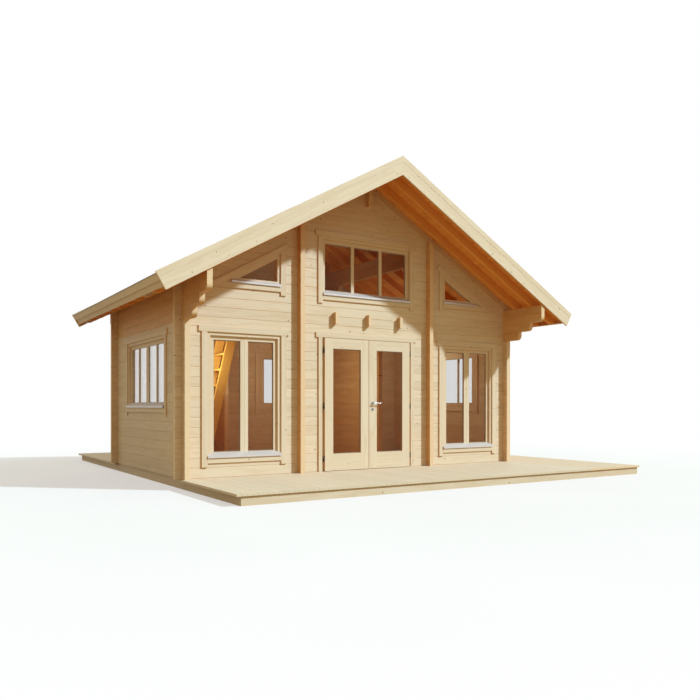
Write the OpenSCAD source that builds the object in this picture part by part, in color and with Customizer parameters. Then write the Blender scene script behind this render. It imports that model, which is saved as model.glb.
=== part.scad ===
// Log summer house with a sleeping loft, a deep front gable and a timber deck.
// Millimetres. X runs to the right and Y to the back as seen from the front, Z is up from the ground.
// The origin is on the ground under the middle of the log house.

/* [House] */
// Width over the outer faces of the side walls
house_w = 5680; // [5400:20:6600]
// Depth over the outer faces of the gable walls
house_d = 3420; // [3100:20:4600]
// Thickness of the logs in every wall
wall_t = 70; // [60:5:110]
// Height that one log covers
log_h = 134; // [126:1:142]
// Depth of the V groove along each joint between two logs
log_groove = 5; // [3:0.5:8]
// Length of log that stands out past a crossing wall
log_end = 100; // [60:5:160]
// Whole courses in a side wall, above the half log that it starts with
side_courses = 19; // [18:1:22]
// Courses of the gable walls up to the heads of door and windows
head_courses = 15; // [14:1:16]
// Distance of each inner log wall from the middle of the house
partition_x = 1145; // [1000:5:1300]
// Length of the inner walls' full-height ends, from the gable wall's outer face
stub_l = 600; // [400:10:800]
// Width of the doorway in the right inner wall
inner_door_w = 800; // [700:10:900]

/* [Roof] */
// Slope of the roof
pitch = 30; // [24:1:36]
// Overhang of the roof in front of the gable wall
front_overhang = 950; // [800:10:1200]
// Overhang of the roof behind the rear wall
rear_overhang = 500; // [440:10:800]
// Overhang of the eaves past the side walls, to the top edge of the bargeboards
eave_overhang = 615; // [400:5:800]
// Depth of a rafter, square to the roof
rafter_h = 120; // [90:5:160]
// Width of a rafter
rafter_w = 45; // [35:5:70]
// Spacing of the rafters in the overhangs
rafter_gap = 368; // [340:4:460]
// Distance of the outermost rafters behind the bargeboards
barge_bay = 239; // [150:1:300]
// Clearance between a gable wall and the rafter inside it
rafter_off = 35; // [5:1:50]
// Number of rafters between the gable walls
inner_rafters = 8; // [6:1:10]
// Thickness of the roof boards
roof_board_t = 20; // [16:1:28]
// Thickness of the insulation and felt on the roof boards
cover_t = 84; // [60:2:100]
// Width of a bargeboard, square to the roof
barge_w = 235; // [200:5:280]
// Thickness of the bargeboards
barge_t = 28; // [20:1:40]
// Distance of the joint in a bargeboard from its upper edge
barge_joint = 80; // [60:5:120]
// Width and depth of that joint
barge_groove = 4; // [2:1:6]
// Height of a bargeboard's lower edge over the undersides of the rafters
barge_lift = 13; // [0:1:30]
// Width of an eaves fascia's front board
fascia_w = 90; // [70:5:100]
// Width of the wider board behind it
fascia_back_w = 170; // [150:5:190]
// Thickness of the boards in an eaves fascia
fascia_t = 20; // [16:1:28]
// Width of the battens along the tops of the gable walls
batten_w = 104; // [60:2:110]
// Thickness of those battens
batten_t = 20; // [14:1:28]
// Depth of the ridge beam
ridge_beam_h = 250; // [180:5:300]
// Set-back of each log that carries an overhang from the log above it
corbel_step = 266; // [150:2:280]
// Radius under the end of each log that carries an overhang
corbel_r = 80; // [40:5:120]

/* [Deck] */
// Depth of the deck in front of the house
deck_front = 1920; // [1200:20:2600]
// Depth of the deck behind the house
deck_rear = 3000; // [1200:20:3600]
// Width of the deck to the right of the house
deck_right = 1130; // [600:10:1600]
// Overhang of the deck boards past the left wall
deck_left = 30; // [0:5:60]
// Thickness of deck and floor boards
board_t = 28; // [22:1:40]
// Height of the skirt and bearers that carry the boards
skirt_h = 109; // [80:1:160]
// Thickness of the skirt and the bearers
bearer_t = 45; // [30:5:70]
// Set-back of the skirt under the ends of the deck boards
skirt_inset = 25; // [10:5:60]
// Set-back of the left skirt under the left wall
left_inset = 30; // [20:5:55]
// Spacing of the bearers
bearer_gap = 590; // [400:10:700]

/* [Windows] */
// Distance of the triangular windows' upright side from the middle of their bays
gable_win_off = 548; // [540:1:580]
// Width of the openings for the two tall front windows
tall_win_w = 1104; // [900:4:1200]
// Courses under the tall front windows
tall_sill_courses = 2; // [2:1:4]
// Width of the openings in the side walls
side_win_w = 1990; // [1400:10:2100]
// Courses under the side and rear windows
side_sill_courses = 7; // [5:1:9]
// Width of the opening in the rear wall
rear_win_w = 650; // [600:10:900]
// Width of the loft window's opening
loft_win_w = 1680; // [1200:10:1700]
// Height of the loft window's opening over the deck
loft_sill_z = 2585; // [2540:1:2640]
// Height of the loft window's frame
loft_win_h = 880; // [700:5:900]
// Width of the triangular windows' openings along their sill
gable_win_w = 870; // [700:5:880]
// Height of the triangular windows' sill over the deck
gable_sill_z = 2635; // [2600:5:2650]
// Space left over the frames for the logs to settle, behind the head boards
settle_gap = 45; // [20:1:55]
// Width of the window frames' heads and jambs
frame_w = 65; // [50:1:80]
// Height of the window frames' bottom rails
foot_w = 42; // [34:1:50]
// Depth by which the casements sit in the frames' rebates
rebate = 17; // [10:1:20]
// Depth by which they sit behind the frames' bottom rails
foot_rebate = 29; // [10:1:30]
// Set-back of the casements from the frames' faces
casement_y = 30; // [20:1:40]
// Thickness of a casement
casement_d = 38; // [34:1:50]
// Clearance round a casement
casement_gap = 3; // [2:0.5:5]
// Width of the casements' stiles and top rails
stile_w = 68; // [50:1:80]
// Width of the casements' bottom rails, and of the stiles where two casements meet
meet_w = 54; // [45:1:70]
// Thickness of the double glazing
glass_t = 16; // [10:1:24]
// Set-back of the glass in its casement or leaf
glass_y = 14; // [8:1:18]
// Width of the bars in the side windows
bar_w = 26; // [18:1:40]
// Width of the bars in the loft window
loft_bar_w = 50; // [26:1:60]
// Width of the cover boards round the openings
trim_w = 80; // [60:1:100]
// Width of the board under a sill
sill_board_w = 70; // [40:1:80]
// Distance of that board under the opening
sill_board_drop = 5; // [0:1:10]
// Thickness of the cover boards
trim_t = 20; // [14:1:28]
// Overlap of the cover boards over the window frames
trim_lap = 20; // [10:1:30]
// Overlap of the loft window's side boards over its frame
loft_lap = 65; // [10:1:65]
// Length by which head boards stand out past the side boards
ear_side = 40; // [15:1:50]
// Length by which side boards run down past the board under the sill
ear_down = 50; // [30:1:90]
// Thickness of the metal sills
sill_t = 3; // [2:0.5:6]
// Projection of the metal sills past the cover boards
sill_out = 14; // [8:1:30]
// Slope of the metal sills
sill_slope = 36; // [10:1:40]
// Clearance of the metal sills in front of the casements
sill_off = 2; // [1:0.5:4]
// Depth of the lip along a metal sill's front edge
sill_lip = 27; // [10:1:30]

/* [Door] */
// Width of one door leaf
leaf_w = 752; // [700:1:780]
// Height of the door leaves
leaf_h = 1946; // [1850:1:1946]
// Thickness of a door leaf
leaf_t = 45; // [42:1:60]
// Distance that the leaves' faces stand out in front of the logs
leaf_proud = 37; // [30:1:40]
// Clearance round each leaf
leaf_gap = 5; // [5:0.5:8]
// Half of the gap between the two leaves
meet_gap = 4; // [4:0.5:6]
// Height of the leaves' lower edges over the deck
leaf_lift = 7; // [6:1:12]
// Width of the leaves' stiles
leaf_stile = 138; // [110:1:160]
// Height of the leaves' top rails
leaf_top = 152; // [110:1:180]
// Height of the leaves' bottom rails
leaf_bottom = 247; // [180:1:300]
// Thickness of the door frame's jambs
jamb_w = 52; // [40:1:60]
// Width of the jamb that shows beside a leaf
jamb_show = 29; // [26:1:34]
// Width of the stop that a leaf closes on
stop_w = 19; // [15:1:24]
// Space left over the door frame for the logs to settle
door_settle = 15; // [10:1:20]
// Height of the threshold behind the leaves
threshold_h = 22; // [15:1:30]
// Width of the cover boards beside the door
door_trim_w = 60; // [50:1:80]
// Width of the cover board over the door
door_head_w = 76; // [60:1:90]
// Radius of the hinge knuckles
knuckle_r = 7.5; // [6:0.5:8]
// Distance of the hinge pins from the leaves' edges
knuckle_off = 13; // [13:0.5:15]
// Height of one hinge
hinge_h = 90; // [60:5:120]
// Thickness of a hinge's plates
hinge_t = 4; // [3:0.5:6]
// Height of the lowest hinge over the deck
hinge_low = 190; // [150:5:250]
// Height of the middle hinge over the deck
hinge_mid = 960; // [800:5:1100]
// Height of the uppermost hinge over the deck
hinge_top = 1775; // [1650:5:1820]
// Distance of the lever's spindle from the meeting edge
spindle_x = 62; // [55:1:80]
// Height of the lever's spindle over the deck
spindle_z = 1000; // [900:10:1100]
// Radius of the spindle and the lever
lever_r = 8; // [6:0.5:10]
// Clearance round the spindle
spindle_gap = 1; // [0.5:0.5:2]
// Distance of the lever from the leaf's face
lever_out = 42; // [35:1:60]
// Length of the lever
lever_l = 125; // [95:5:140]
// Radius of the roses under lever and keyhole
rose_r = 25; // [20:1:30]
// Thickness of the roses
rose_t = 6; // [4:1:10]
// Distance of the keyhole's rose under the spindle
key_drop = 92; // [70:1:110]

/* [Loft] */
// Width of a loft joist
joist_w = 45; // [40:5:70]
// Height of a loft joist
joist_h = 165; // [140:5:200]
// Height of the joists' undersides over the deck
joist_z = 2170; // [2160:5:2200]
// Spacing of the three loft joists
joist_gap = 575; // [450:5:640]
// Projection of the joists in front of the wall
joist_out = 75; // [50:5:120]
// Thickness of the loft floor
loft_board_t = 28; // [20:1:36]
// Courses of the log purlins on the inner walls, under the rafters
purlin_courses = 2; // [1:1:3]
// Width of the ladder stair
stair_w = 560; // [480:10:700]
// Slope of the ladder stair
stair_angle = 77; // [66:1:80]
// Distance of the stair from the inner wall's rear end
stair_gap = 150; // [0:10:400]
// Number of treads
tread_count = 8; // [7:1:10]
// Thickness of a tread
tread_t = 32; // [26:1:40]
// Width of the stair's string boards
string_w = 150; // [110:5:160]
// Thickness of the stair's string boards
string_t = 36; // [28:1:45]

/* [Hidden] */
// Cutters run this far past the faces that they cut
over = 5;
// Allowance for rounding where whole courses are counted
tiny = 0.01;
// Clearance of a piece on its seat
seat_gap = 0.3;
timber = "BurlyWood";
pale = "Wheat";
metal = "Silver";
pane = "LightBlue";

half_w = house_w / 2;
half_d = house_d / 2;
inner_w = half_w - wall_t;
inner_d = half_d - wall_t;
deck_z = skirt_h + board_t;
bay_x = (inner_w + partition_x + wall_t / 2) / 2;
gable_win_x = bay_x - gable_win_off;

// Heights over the deck: heads of the openings, joint under the side walls' top logs, side walls' tops
head_z = head_courses * log_h;
split_z = (head_courses + 0.5) * log_h;
wall_top = (side_courses + 0.5) * log_h;
loft_z = joist_z + joist_h;
tall_win_h = head_z - tall_sill_courses * log_h - settle_gap;
side_win_h = head_z - side_sill_courses * log_h - settle_gap;

// Roof, in the plane of a slope: length from the ridge, height over the rafters' undersides
apex_z = deck_z + wall_top + inner_w * tan(pitch);
barge_top = barge_lift + barge_w;
eave_s = (half_w + eave_overhang - barge_top * sin(pitch)) / cos(pitch);
rafter_end = eave_s - 2 * fascia_t;
roof_top = rafter_h + roof_board_t + cover_t;
roof_front = -half_d - front_overhang;
roof_rear = half_d + rear_overhang;
roof_length = roof_rear - roof_front - 2 * barge_t;

// Half of the door's opening in the logs
door_half = meet_gap + leaf_w + leaf_gap + jamb_w;
hinge_x = meet_gap + leaf_w + knuckle_off;
hinge_y = knuckle_r - leaf_proud;
hinge_zs = [hinge_low, hinge_mid, hinge_top];

// Height over the deck of the rafters' undersides, at a distance x from the middle
function soffit(x) = wall_top + (inner_w - abs(x)) * tan(pitch);

// The last log that crosses a gable wall at a distance x from the middle
function last_crossing(x) = floor(soffit(x) / log_h + 0.25);

// ---- Placing ----

// Does to the right slope what a child, drawn in the plane of the slope, says:
// its X runs down the slope from the ridge, its Y to the back and its Z square to the roof.
module on_slope() {
    translate([0, 0, apex_z])
        rotate([0, pitch, 0])
            children();
}

// Mirrors a piece of the right side to the left
module left() {
    mirror([1, 0, 0])
        children();
}

// Both sides get what is drawn on the right
module both_sides() {
    children();
    left()
        children();
}

// Places a gable wall's pieces, drawn with the outer face on y = 0, on the front of the house
module at_front() {
    translate([0, -half_d, deck_z])
        children();
}

// Places a gable wall's pieces on the rear of the house, facing back
module at_rear() {
    translate([0, half_d, deck_z])
        rotate(180)
            children();
}

// Places a side wall's pieces, drawn as a gable wall's are, with their outer face at a distance x
module at_right(x = half_w) {
    translate([x, 0, deck_z])
        rotate(90)
            children();
}

// Stands a shape drawn in a wall's plane upright, d thick, its face at y
module upright(y, d) {
    translate([0, y + d, 0])
        rotate([90, 0, 0])
            linear_extrude(d)
                children();
}

// Gives a wall's inner face what is drawn on its outer face
module both_faces() {
    children();
    translate([0, wall_t, 0])
        mirror([0, 1, 0])
            children();
}

// The space under a plane that lies h over the rafters' undersides, from the ground up
module under_roof(h) {
    reach = half_w + eave_overhang;
    rise = h / cos(pitch);
    translate([0, house_d * 2, 0])
        rotate([90, 0, 0])
            linear_extrude(house_d * 4)
                polygon([
                    [-reach, 0], [reach, 0],
                    [reach, deck_z + soffit(reach) + rise],
                    [0, apex_z + rise],
                    [-reach, deck_z + soffit(reach) + rise]
                ]);
}

// Cuts a slope's pieces off at the middle of the house
module right_half() {
    size = house_w * 2;
    intersection() {
        children();
        translate([0, -size, 0])
            cube([size, 2 * size, size]);
    }
}

// ---- Logs ----

// Logs laid from x0 to x1 and from z0 to z1, their outer face on y = 0, with a V groove at each joint:
// the joints lie at whole courses above the height named joint
module logs(x0, x1, z0, z1, joint) {
    first = ceil((z0 - joint) / log_h - tiny);
    last = floor((z1 - joint) / log_h + tiny);
    translate([x0, 0, 0])
        rotate([90, 0, 90])
            linear_extrude(x1 - x0)
                difference() {
                    translate([0, z0])
                        square([wall_t, z1 - z0]);
                    for (k = [first : last])
                        for (y = [0, wall_t])
                            translate([y, joint + k * log_h])
                                rotate(45)
                                    square(log_groove * sqrt(2), center = true);
                }
}

// Housings in a gable wall for the logs that cross it: each log keeps the middle half of its height
module gable_housings(c0, c1) {
    for (x = [inner_w, partition_x - wall_t / 2])
        for (k = [c0 : min(c1, last_crossing(x))])
            translate([x, -over, (k - 0.25) * log_h])
                cube([wall_t, wall_t + 2 * over, log_h / 2]);
}

// Logs of a gable wall between x0 and x1, from course c0 to course c1
module gable_logs(x0, x1, c0, c1) {
    difference() {
        logs(x0, x1, c0 * log_h, c1 * log_h, 0);
        both_sides()
            gable_housings(c0, c1);
    }
}

// Housings in a side wall or an inner wall for the gable walls' logs
module side_housings(courses) {
    for (x = [-half_d, inner_d])
        for (k = [0 : courses])
            translate([x, -over, (k + 0.25) * log_h])
                cube([wall_t, wall_t + 2 * over, log_h / 2]);
}

// One run of a side wall's or an inner wall's logs, whose joints lie half a course over the gable walls'
module side_logs(x0, x1, z0, z1) {
    logs(x0, x1, z0, z1, log_h / 2);
}

// ---- Platform ----

module platform_frame() {
    x0 = -half_w + left_inset;
    x1 = half_w + deck_right - skirt_inset;
    y0 = -half_d - deck_front + skirt_inset;
    y1 = half_d + deck_rear - skirt_inset;
    rows = ceil((y1 - y0) / bearer_gap);
    color(timber) {
        // skirt and bearers across the house
        for (k = [0 : rows])
            translate([x0, y0 + k * (y1 - y0 - bearer_t) / rows, 0])
                cube([x1 - x0, bearer_t, skirt_h]);
        // skirts on the left and right
        for (x = [x0, x1 - bearer_t])
            translate([x, y0, 0])
                cube([bearer_t, y1 - y0, skirt_h]);
        // middle bearer
        translate([-bearer_t / 2, y0, 0])
            cube([bearer_t, y1 - y0, skirt_h]);
        // ground beams under the four walls, up to the deck's surface
        for (y = [-half_d, inner_d])
            translate([x0, y, 0])
                cube([half_w - x0, wall_t, deck_z]);
        translate([x0, -half_d, 0])
            cube([wall_t - left_inset, house_d, deck_z]);
        translate([inner_w, -half_d, 0])
            cube([wall_t, house_d, deck_z]);
    }
}

module front_deck() {
    color(pale)
        translate([-half_w - deck_left, -half_d - deck_front, skirt_h])
            cube([house_w + deck_left, deck_front, board_t]);
}

module side_deck() {
    color(pale)
        translate([half_w, -half_d - deck_front, skirt_h])
            cube([deck_right, house_d + deck_front + deck_rear, board_t]);
}

module rear_deck() {
    color(pale)
        translate([-half_w - deck_left, half_d, skirt_h])
            cube([house_w + deck_left, deck_rear, board_t]);
}

module house_floor() {
    color(pale)
        translate([-inner_w, -inner_d, skirt_h])
            cube([2 * inner_w, 2 * inner_d, board_t]);
}

// ---- Gable walls ----

// Hole for a window in a wall, its sill at z = 0
module window_hole(w, h) {
    translate([-w / 2, -over, 0])
        cube([w, wall_t + 2 * over, h + settle_gap]);
}

module front_wall_right() {
    color(timber)
        difference() {
            at_front()
                gable_logs(door_half, half_w + log_end, 0, head_courses);
            at_tall_window()
                window_hole(tall_win_w, tall_win_h + over);
        }
}

module front_wall_left() {
    left()
        front_wall_right();
}

// Outline of a triangular window on the right, grown by g, in the wall's plane
module gable_window_shape(g) {
    grow = g * (1 + cos(pitch)) / sin(pitch);
    translate([gable_win_x - g, gable_sill_z - g])
        polygon([
            [0, 0],
            [gable_win_w + grow + g, 0],
            [0, (gable_win_w + grow + g) * tan(pitch)]
        ]);
}

// A whole gable from course c0 up to the roof boards, without the ridge beam's seat
module gable(c0) {
    reach = half_w + log_end;
    top = ceil((apex_z - deck_z + rafter_h / cos(pitch)) / log_h);
    intersection() {
        translate([0, 0, -deck_z])
            under_roof(rafter_h - seat_gap);
        difference() {
            gable_logs(-reach, reach, c0, top);
            translate([0, 0, -deck_z])
                intersection() {
                    translate([-wall_t / 2, -over, apex_z - ridge_beam_h])
                        cube([wall_t, wall_t + 2 * over, ridge_beam_h]);
                    under_roof(0);
                }
        }
    }
}

module front_gable() {
    color(timber)
        difference() {
            at_front()
                gable(head_courses);
            at_loft_window()
                window_hole(loft_win_w, loft_win_h);
            at_front() {
                both_sides()
                    upright(-over, wall_t + 2 * over)
                        gable_window_shape(0);
                joists(-over, wall_t + over);
            }
        }
}

module rear_wall() {
    color(timber)
        difference() {
            at_rear()
                gable(0);
            at_rear_window()
                window_hole(rear_win_w, side_win_h);
        }
}

// ---- Side walls ----

module right_wall() {
    reach = half_d + log_end;
    color(timber)
        difference() {
            at_right()
                difference() {
                    side_logs(-reach, reach, 0, split_z);
                    side_housings(head_courses);
                }
            at_side_window()
                window_hole(side_win_w, side_win_h);
        }
}

module left_wall() {
    left()
        right_wall();
}

// One end of a log that carries an overhang, seen from the side, its lower corner rounded where it is free
module corbel_end(reach, free) {
    difference() {
        square([reach, log_h]);
        if (free)
            translate([reach - corbel_r, corbel_r])
                difference() {
                    translate([0, -corbel_r - over])
                        square(corbel_r + over);
                    circle(corbel_r, $fn = 64);
                }
    }
}

// The stepped logs at one end of a side wall, seen from the side
module corbel_outline(reach) {
    steps = side_courses - head_courses;
    for (k = [1 : steps]) {
        own = reach - max(0, steps - 1 - k) * corbel_step;
        translate([0, (head_courses + k - 0.5) * log_h])
            corbel_end(half_d + max(log_end, own), k < steps && own > log_end);
    }
}

// The top logs of a side wall step out under the roof, front and rear, and carry its overhangs
module right_eave_logs() {
    front_reach = front_overhang - barge_t;
    rear_reach = rear_overhang - barge_t;
    color(timber) {
        intersection() {
            at_right()
                difference() {
                    intersection() {
                        side_logs(-half_d - front_reach, half_d + rear_reach, split_z, wall_top);
                        upright(0, wall_t) {
                            mirror([1, 0])
                                corbel_outline(front_reach);
                            corbel_outline(rear_reach);
                        }
                    }
                    side_housings(side_courses + 1);
                }
            under_roof(-seat_gap);
        }
        eave_blocking();
    }
}

module left_eave_logs() {
    left()
        right_eave_logs();
}

// Boards on the side wall's top log that close the gaps between the rafters
module eave_blocking() {
    difference() {
        intersection() {
            translate([inner_w + wall_t / 3, -inner_d, deck_z + wall_top - log_h / 2])
                cube([wall_t / 3, 2 * inner_d, log_h * 2]);
            under_roof(rafter_h - seat_gap);
        }
        on_slope()
            for (y = inner_rafter_ys())
                translate([0, y - seat_gap, -seat_gap])
                    cube([eave_s, rafter_w + 2 * seat_gap, rafter_h + over]);
    }
}

// ---- Inner log walls ----

// An inner wall's full-height ends and the purlin that joins them under the rafters
module inner_frame() {
    top = soffit(partition_x - wall_t / 2);
    purlin_z = (floor(soffit(partition_x) / log_h - purlin_courses) + 0.5) * log_h;
    side_logs(-half_d - log_end, -half_d + stub_l, 0, top);
    side_logs(half_d - stub_l, half_d + log_end, 0, top);
    side_logs(-half_d + stub_l, half_d - stub_l, purlin_z, top);
}

// An inner wall with the logs below the loft that are drawn for it
module inner_wall() {
    color(timber)
        intersection() {
            at_right(partition_x + wall_t / 2)
                difference() {
                    union() {
                        inner_frame();
                        children();
                    }
                    side_housings(last_crossing(partition_x - wall_t / 2));
                }
            under_roof(-seat_gap);
        }
}

// Closed below the loft, with a doorway at the front
module right_inner_wall() {
    inner_wall() {
        side_logs(-half_d + stub_l, half_d - stub_l, split_z, loft_z);
        side_logs(-half_d + stub_l + inner_door_w, half_d - stub_l, 0, split_z);
    }
}

// Open below the loft, where its logs make a beam between the full-height ends
module left_inner_wall() {
    left()
        inner_wall()
            side_logs(-half_d + stub_l, half_d - stub_l, split_z, loft_z);
}

// ---- Roof ----

module ridge_beam() {
    color(timber)
        intersection() {
            translate([-wall_t / 2, -half_d - log_end, apex_z - ridge_beam_h])
                cube([wall_t, house_d + 2 * log_end, ridge_beam_h]);
            under_roof(-seat_gap);
        }
}

// Places of the rafters' front faces between the gable walls
function inner_rafter_ys() =
    let (first = -inner_d + rafter_off, last = inner_d - rafter_off - rafter_w)
    [for (k = [0 : inner_rafters - 1]) first + k * (last - first) / (inner_rafters - 1)];

// Places of the rafters' front faces in the overhangs, the outermost first
function outer_rafter_ys() =
    let (kept = barge_t + barge_bay + rafter_w + batten_t + rafter_off)
    concat(
        [for (k = [0 : floor((front_overhang - kept) / rafter_gap)]) roof_front + barge_t + barge_bay + k * rafter_gap],
        [for (k = [0 : floor((rear_overhang - kept) / rafter_gap)])
            roof_rear - barge_t - barge_bay - rafter_w - k * rafter_gap]
    );

// The rafters' tails are cut off level behind the fascia's lower edge
module right_rafters() {
    tail_z = apex_z - rafter_end * sin(pitch) + (roof_top - fascia_back_w) * cos(pitch);
    color(timber)
        difference() {
            right_half()
                on_slope()
                    for (y = concat(inner_rafter_ys(), outer_rafter_ys()))
                        translate([-rafter_h, y, 0])
                            cube([rafter_end + rafter_h, rafter_w, rafter_h]);
            translate([half_w, roof_front, 0])
                cube([half_w, roof_rear - roof_front, tail_z]);
        }
}

module left_rafters() {
    left()
        right_rafters();
}

// Roof boards with their insulation and felt
module right_roof() {
    color(timber)
        right_half()
            on_slope()
                translate([-roof_top, roof_front + barge_t, rafter_h])
                    cube([rafter_end + roof_top, roof_length, roof_top - rafter_h]);
}

module left_roof() {
    left()
        right_roof();
}

// A bargeboard on the right slope, its back at y and its face towards the side, -1 or 1, that it closes:
// two boards wide, with a joint along it
module bargeboard(y, side) {
    color(pale)
        right_half()
            on_slope()
                translate([-barge_top, y, barge_lift])
                    scale([1, side, 1])
                        difference() {
                            cube([eave_s + barge_top, barge_t, barge_w]);
                            translate([-over, barge_t - barge_groove, barge_w - barge_joint])
                                cube([eave_s + barge_top + 2 * over, over + barge_groove, barge_groove]);
                        }
}

module front_right_bargeboard() {
    bargeboard(roof_front + barge_t, -1);
}

module front_left_bargeboard() {
    left()
        bargeboard(roof_front + barge_t, -1);
}

module rear_right_bargeboard() {
    bargeboard(roof_rear - barge_t, 1);
}

module rear_left_bargeboard() {
    left()
        bargeboard(roof_rear - barge_t, 1);
}

// Two boards over the ends of roof and rafters, the narrow one in front
module right_fascia() {
    color(pale)
        on_slope()
            translate([eave_s, roof_front + barge_t, roof_top]) {
                translate([-fascia_t, 0, -fascia_w])
                    cube([fascia_t, roof_length, fascia_w]);
                translate([-2 * fascia_t, 0, -fascia_back_w])
                    cube([fascia_t, roof_length, fascia_back_w]);
            }
}

module left_fascia() {
    left()
        right_fascia();
}

// Battens in front of both gable walls, along the undersides of the roof boards
module gable_battens() {
    for (y = [-half_d - batten_t - seat_gap, half_d + seat_gap])
        right_half()
            on_slope()
                translate([-rafter_h, y, rafter_h - batten_w])
                    cube([rafter_end + rafter_h, batten_t, batten_w]);
}

// ---- Loft ----

// The loft joists, drawn in the front wall's frame, from y0 to y1
module joists(y0, y1) {
    for (k = [-1, 0, 1])
        translate([k * joist_gap - joist_w / 2, y0, joist_z])
            cube([joist_w, y1 - y0, joist_h]);
}

module loft_joists() {
    color(timber)
        at_front()
            joists(-joist_out, house_d - wall_t);
}

module loft_floor() {
    edge = partition_x + wall_t / 2;
    color(pale)
        at_front()
            difference() {
                translate([-edge, wall_t, loft_z])
                    cube([2 * edge, house_d - 2 * wall_t, loft_board_t]);
                both_sides()
                    for (y = [0, house_d - stub_l])
                        translate([partition_x - wall_t / 2, y, loft_z - over])
                            cube([wall_t + over, stub_l, loft_board_t + 2 * over]);
            }
}

// Ladder stair on the left, leaning on the inner wall at the loft's edge
module loft_stair() {
    rise = loft_z + loft_board_t;
    run = rise / tan(stair_angle);
    depth = string_w / sin(stair_angle);
    color(timber)
        translate([-partition_x - wall_t / 2 - run - depth, half_d - stub_l - stair_gap - stair_w, deck_z]) {
            for (y = [0, stair_w - string_t])
                upright(y, string_t)
                    polygon([[0, 0], [depth, 0], [run + depth, rise], [run, rise]]);
            for (k = [1 : tread_count])
                translate([k * run / (tread_count + 1), string_t, k * rise / (tread_count + 1) - tread_t])
                    cube([depth, stair_w - 2 * string_t, tread_t]);
        }
}

// ---- Windows ----

// Places of the windows: a child has its outer face on y = 0, its sill at z = 0 and its middle on x = 0
module at_tall_window() {
    at_front()
        translate([bay_x, 0, tall_sill_courses * log_h])
            children();
}

module at_side_window() {
    at_right()
        translate([0, 0, side_sill_courses * log_h])
            children();
}

module at_rear_window() {
    at_rear()
        translate([0, 0, side_sill_courses * log_h])
            children();
}

module at_loft_window() {
    at_front()
        translate([0, 0, loft_sill_z])
            children();
}

// Sizes and places of the casements in a window w wide and h high
function casement_w(w, count) = (w - 2 * (frame_w - rebate) - (count + 1) * casement_gap) / count;
function casement_h(h) = h - frame_w - foot_w + rebate + foot_rebate - 2 * casement_gap;
function casement_x(w, count, k) =
    -w / 2 + frame_w - rebate + casement_gap + k * (casement_w(w, count) + casement_gap);
casement_z = foot_w - foot_rebate + casement_gap;

// The glazed parts of all casements, divided by upright bars, from y over a depth d
module lites(w, h, count, bars, bar, y, d) {
    for (k = [0 : count - 1]) {
        left_w = k == 0 ? stile_w : meet_w;
        right_w = k == count - 1 ? stile_w : meet_w;
        lite = (casement_w(w, count) - left_w - right_w - bars * bar) / (bars + 1);
        for (j = [0 : bars])
            translate([casement_x(w, count, k) + left_w + j * (lite + bar), y, casement_z + meet_w])
                cube([lite, d, casement_h(h) - meet_w - stile_w]);
    }
}

// Fixed frame with a rebate on the inside for the casements, and the casements in it
module window(w, h, count, bars, bar) {
    light_h = h - frame_w - foot_w;
    difference() {
        translate([-w / 2, 0, 0])
            cube([w, wall_t, h]);
        translate([-w / 2 + frame_w, -over, foot_w])
            cube([w - 2 * frame_w, wall_t + 2 * over, light_h]);
        translate([-w / 2 + frame_w - rebate, casement_y, foot_w - foot_rebate])
            cube([w - 2 * (frame_w - rebate), wall_t, light_h + foot_rebate + rebate]);
    }
    difference() {
        for (k = [0 : count - 1])
            translate([casement_x(w, count, k), casement_y + seat_gap, casement_z])
                cube([casement_w(w, count), casement_d, casement_h(h)]);
        lites(w, h, count, bars, bar, 0, wall_t + over);
    }
}

module panes(w, h, count, bars, bar) {
    lites(w, h, count, bars, bar, casement_y + glass_y, glass_t);
}

module front_right_window() {
    color(pale)
        at_tall_window()
            window(tall_win_w, tall_win_h, 2, 0, 0);
}

module front_left_window() {
    left()
        front_right_window();
}

module right_side_window() {
    color(pale)
        at_side_window()
            window(side_win_w, side_win_h, 2, 1, bar_w);
}

module left_side_window() {
    left()
        right_side_window();
}

module rear_window() {
    color(pale)
        at_rear_window()
            window(rear_win_w, side_win_h, 1, 0, 0);
}

module loft_window() {
    color(pale)
        at_loft_window()
            window(loft_win_w, loft_win_h, 1, 2, loft_bar_w);
}

module gable_windows() {
    color(pale)
        both_sides()
            at_front()
                upright(0, wall_t)
                    difference() {
                        gable_window_shape(0);
                        gable_window_shape(-frame_w);
                    }
}

module window_glass() {
    color(pane) {
        both_sides() {
            at_tall_window()
                panes(tall_win_w, tall_win_h, 2, 0, 0);
            at_side_window()
                panes(side_win_w, side_win_h, 2, 1, bar_w);
            at_front()
                upright(casement_y + glass_y, glass_t)
                    gable_window_shape(-frame_w);
        }
        at_loft_window()
            panes(loft_win_w, loft_win_h, 1, 2, loft_bar_w);
        at_rear_window()
            panes(rear_win_w, side_win_h, 1, 0, 0);
    }
}

// ---- Cover boards and sills ----

// Boards round a window, outside and inside, the side boards lap wide over its frame
module window_cover(w, h, lap = trim_lap) {
    side_x = w / 2 - lap;
    foot_z = -sill_board_drop - sill_board_w;
    both_faces()
        upright(-trim_t, trim_t) {
            for (x = [-side_x - trim_w, side_x])
                translate([x, foot_z - ear_down])
                    square([trim_w, h - trim_lap - foot_z + ear_down]);
            translate([-side_x - trim_w - ear_side, h - trim_lap])
                square([2 * (side_x + trim_w + ear_side), trim_w]);
            translate([-side_x, foot_z])
                square([2 * side_x, sill_board_w]);
        }
}

// Puts what is drawn upwards from y = 0 along the sloping side of the right triangular window:
// its X runs up the slope from the opening's tip and its Y into the opening
module on_window_slope() {
    translate([gable_win_x + gable_win_w, gable_sill_z])
        rotate(180 - pitch)
            children();
}

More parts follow.
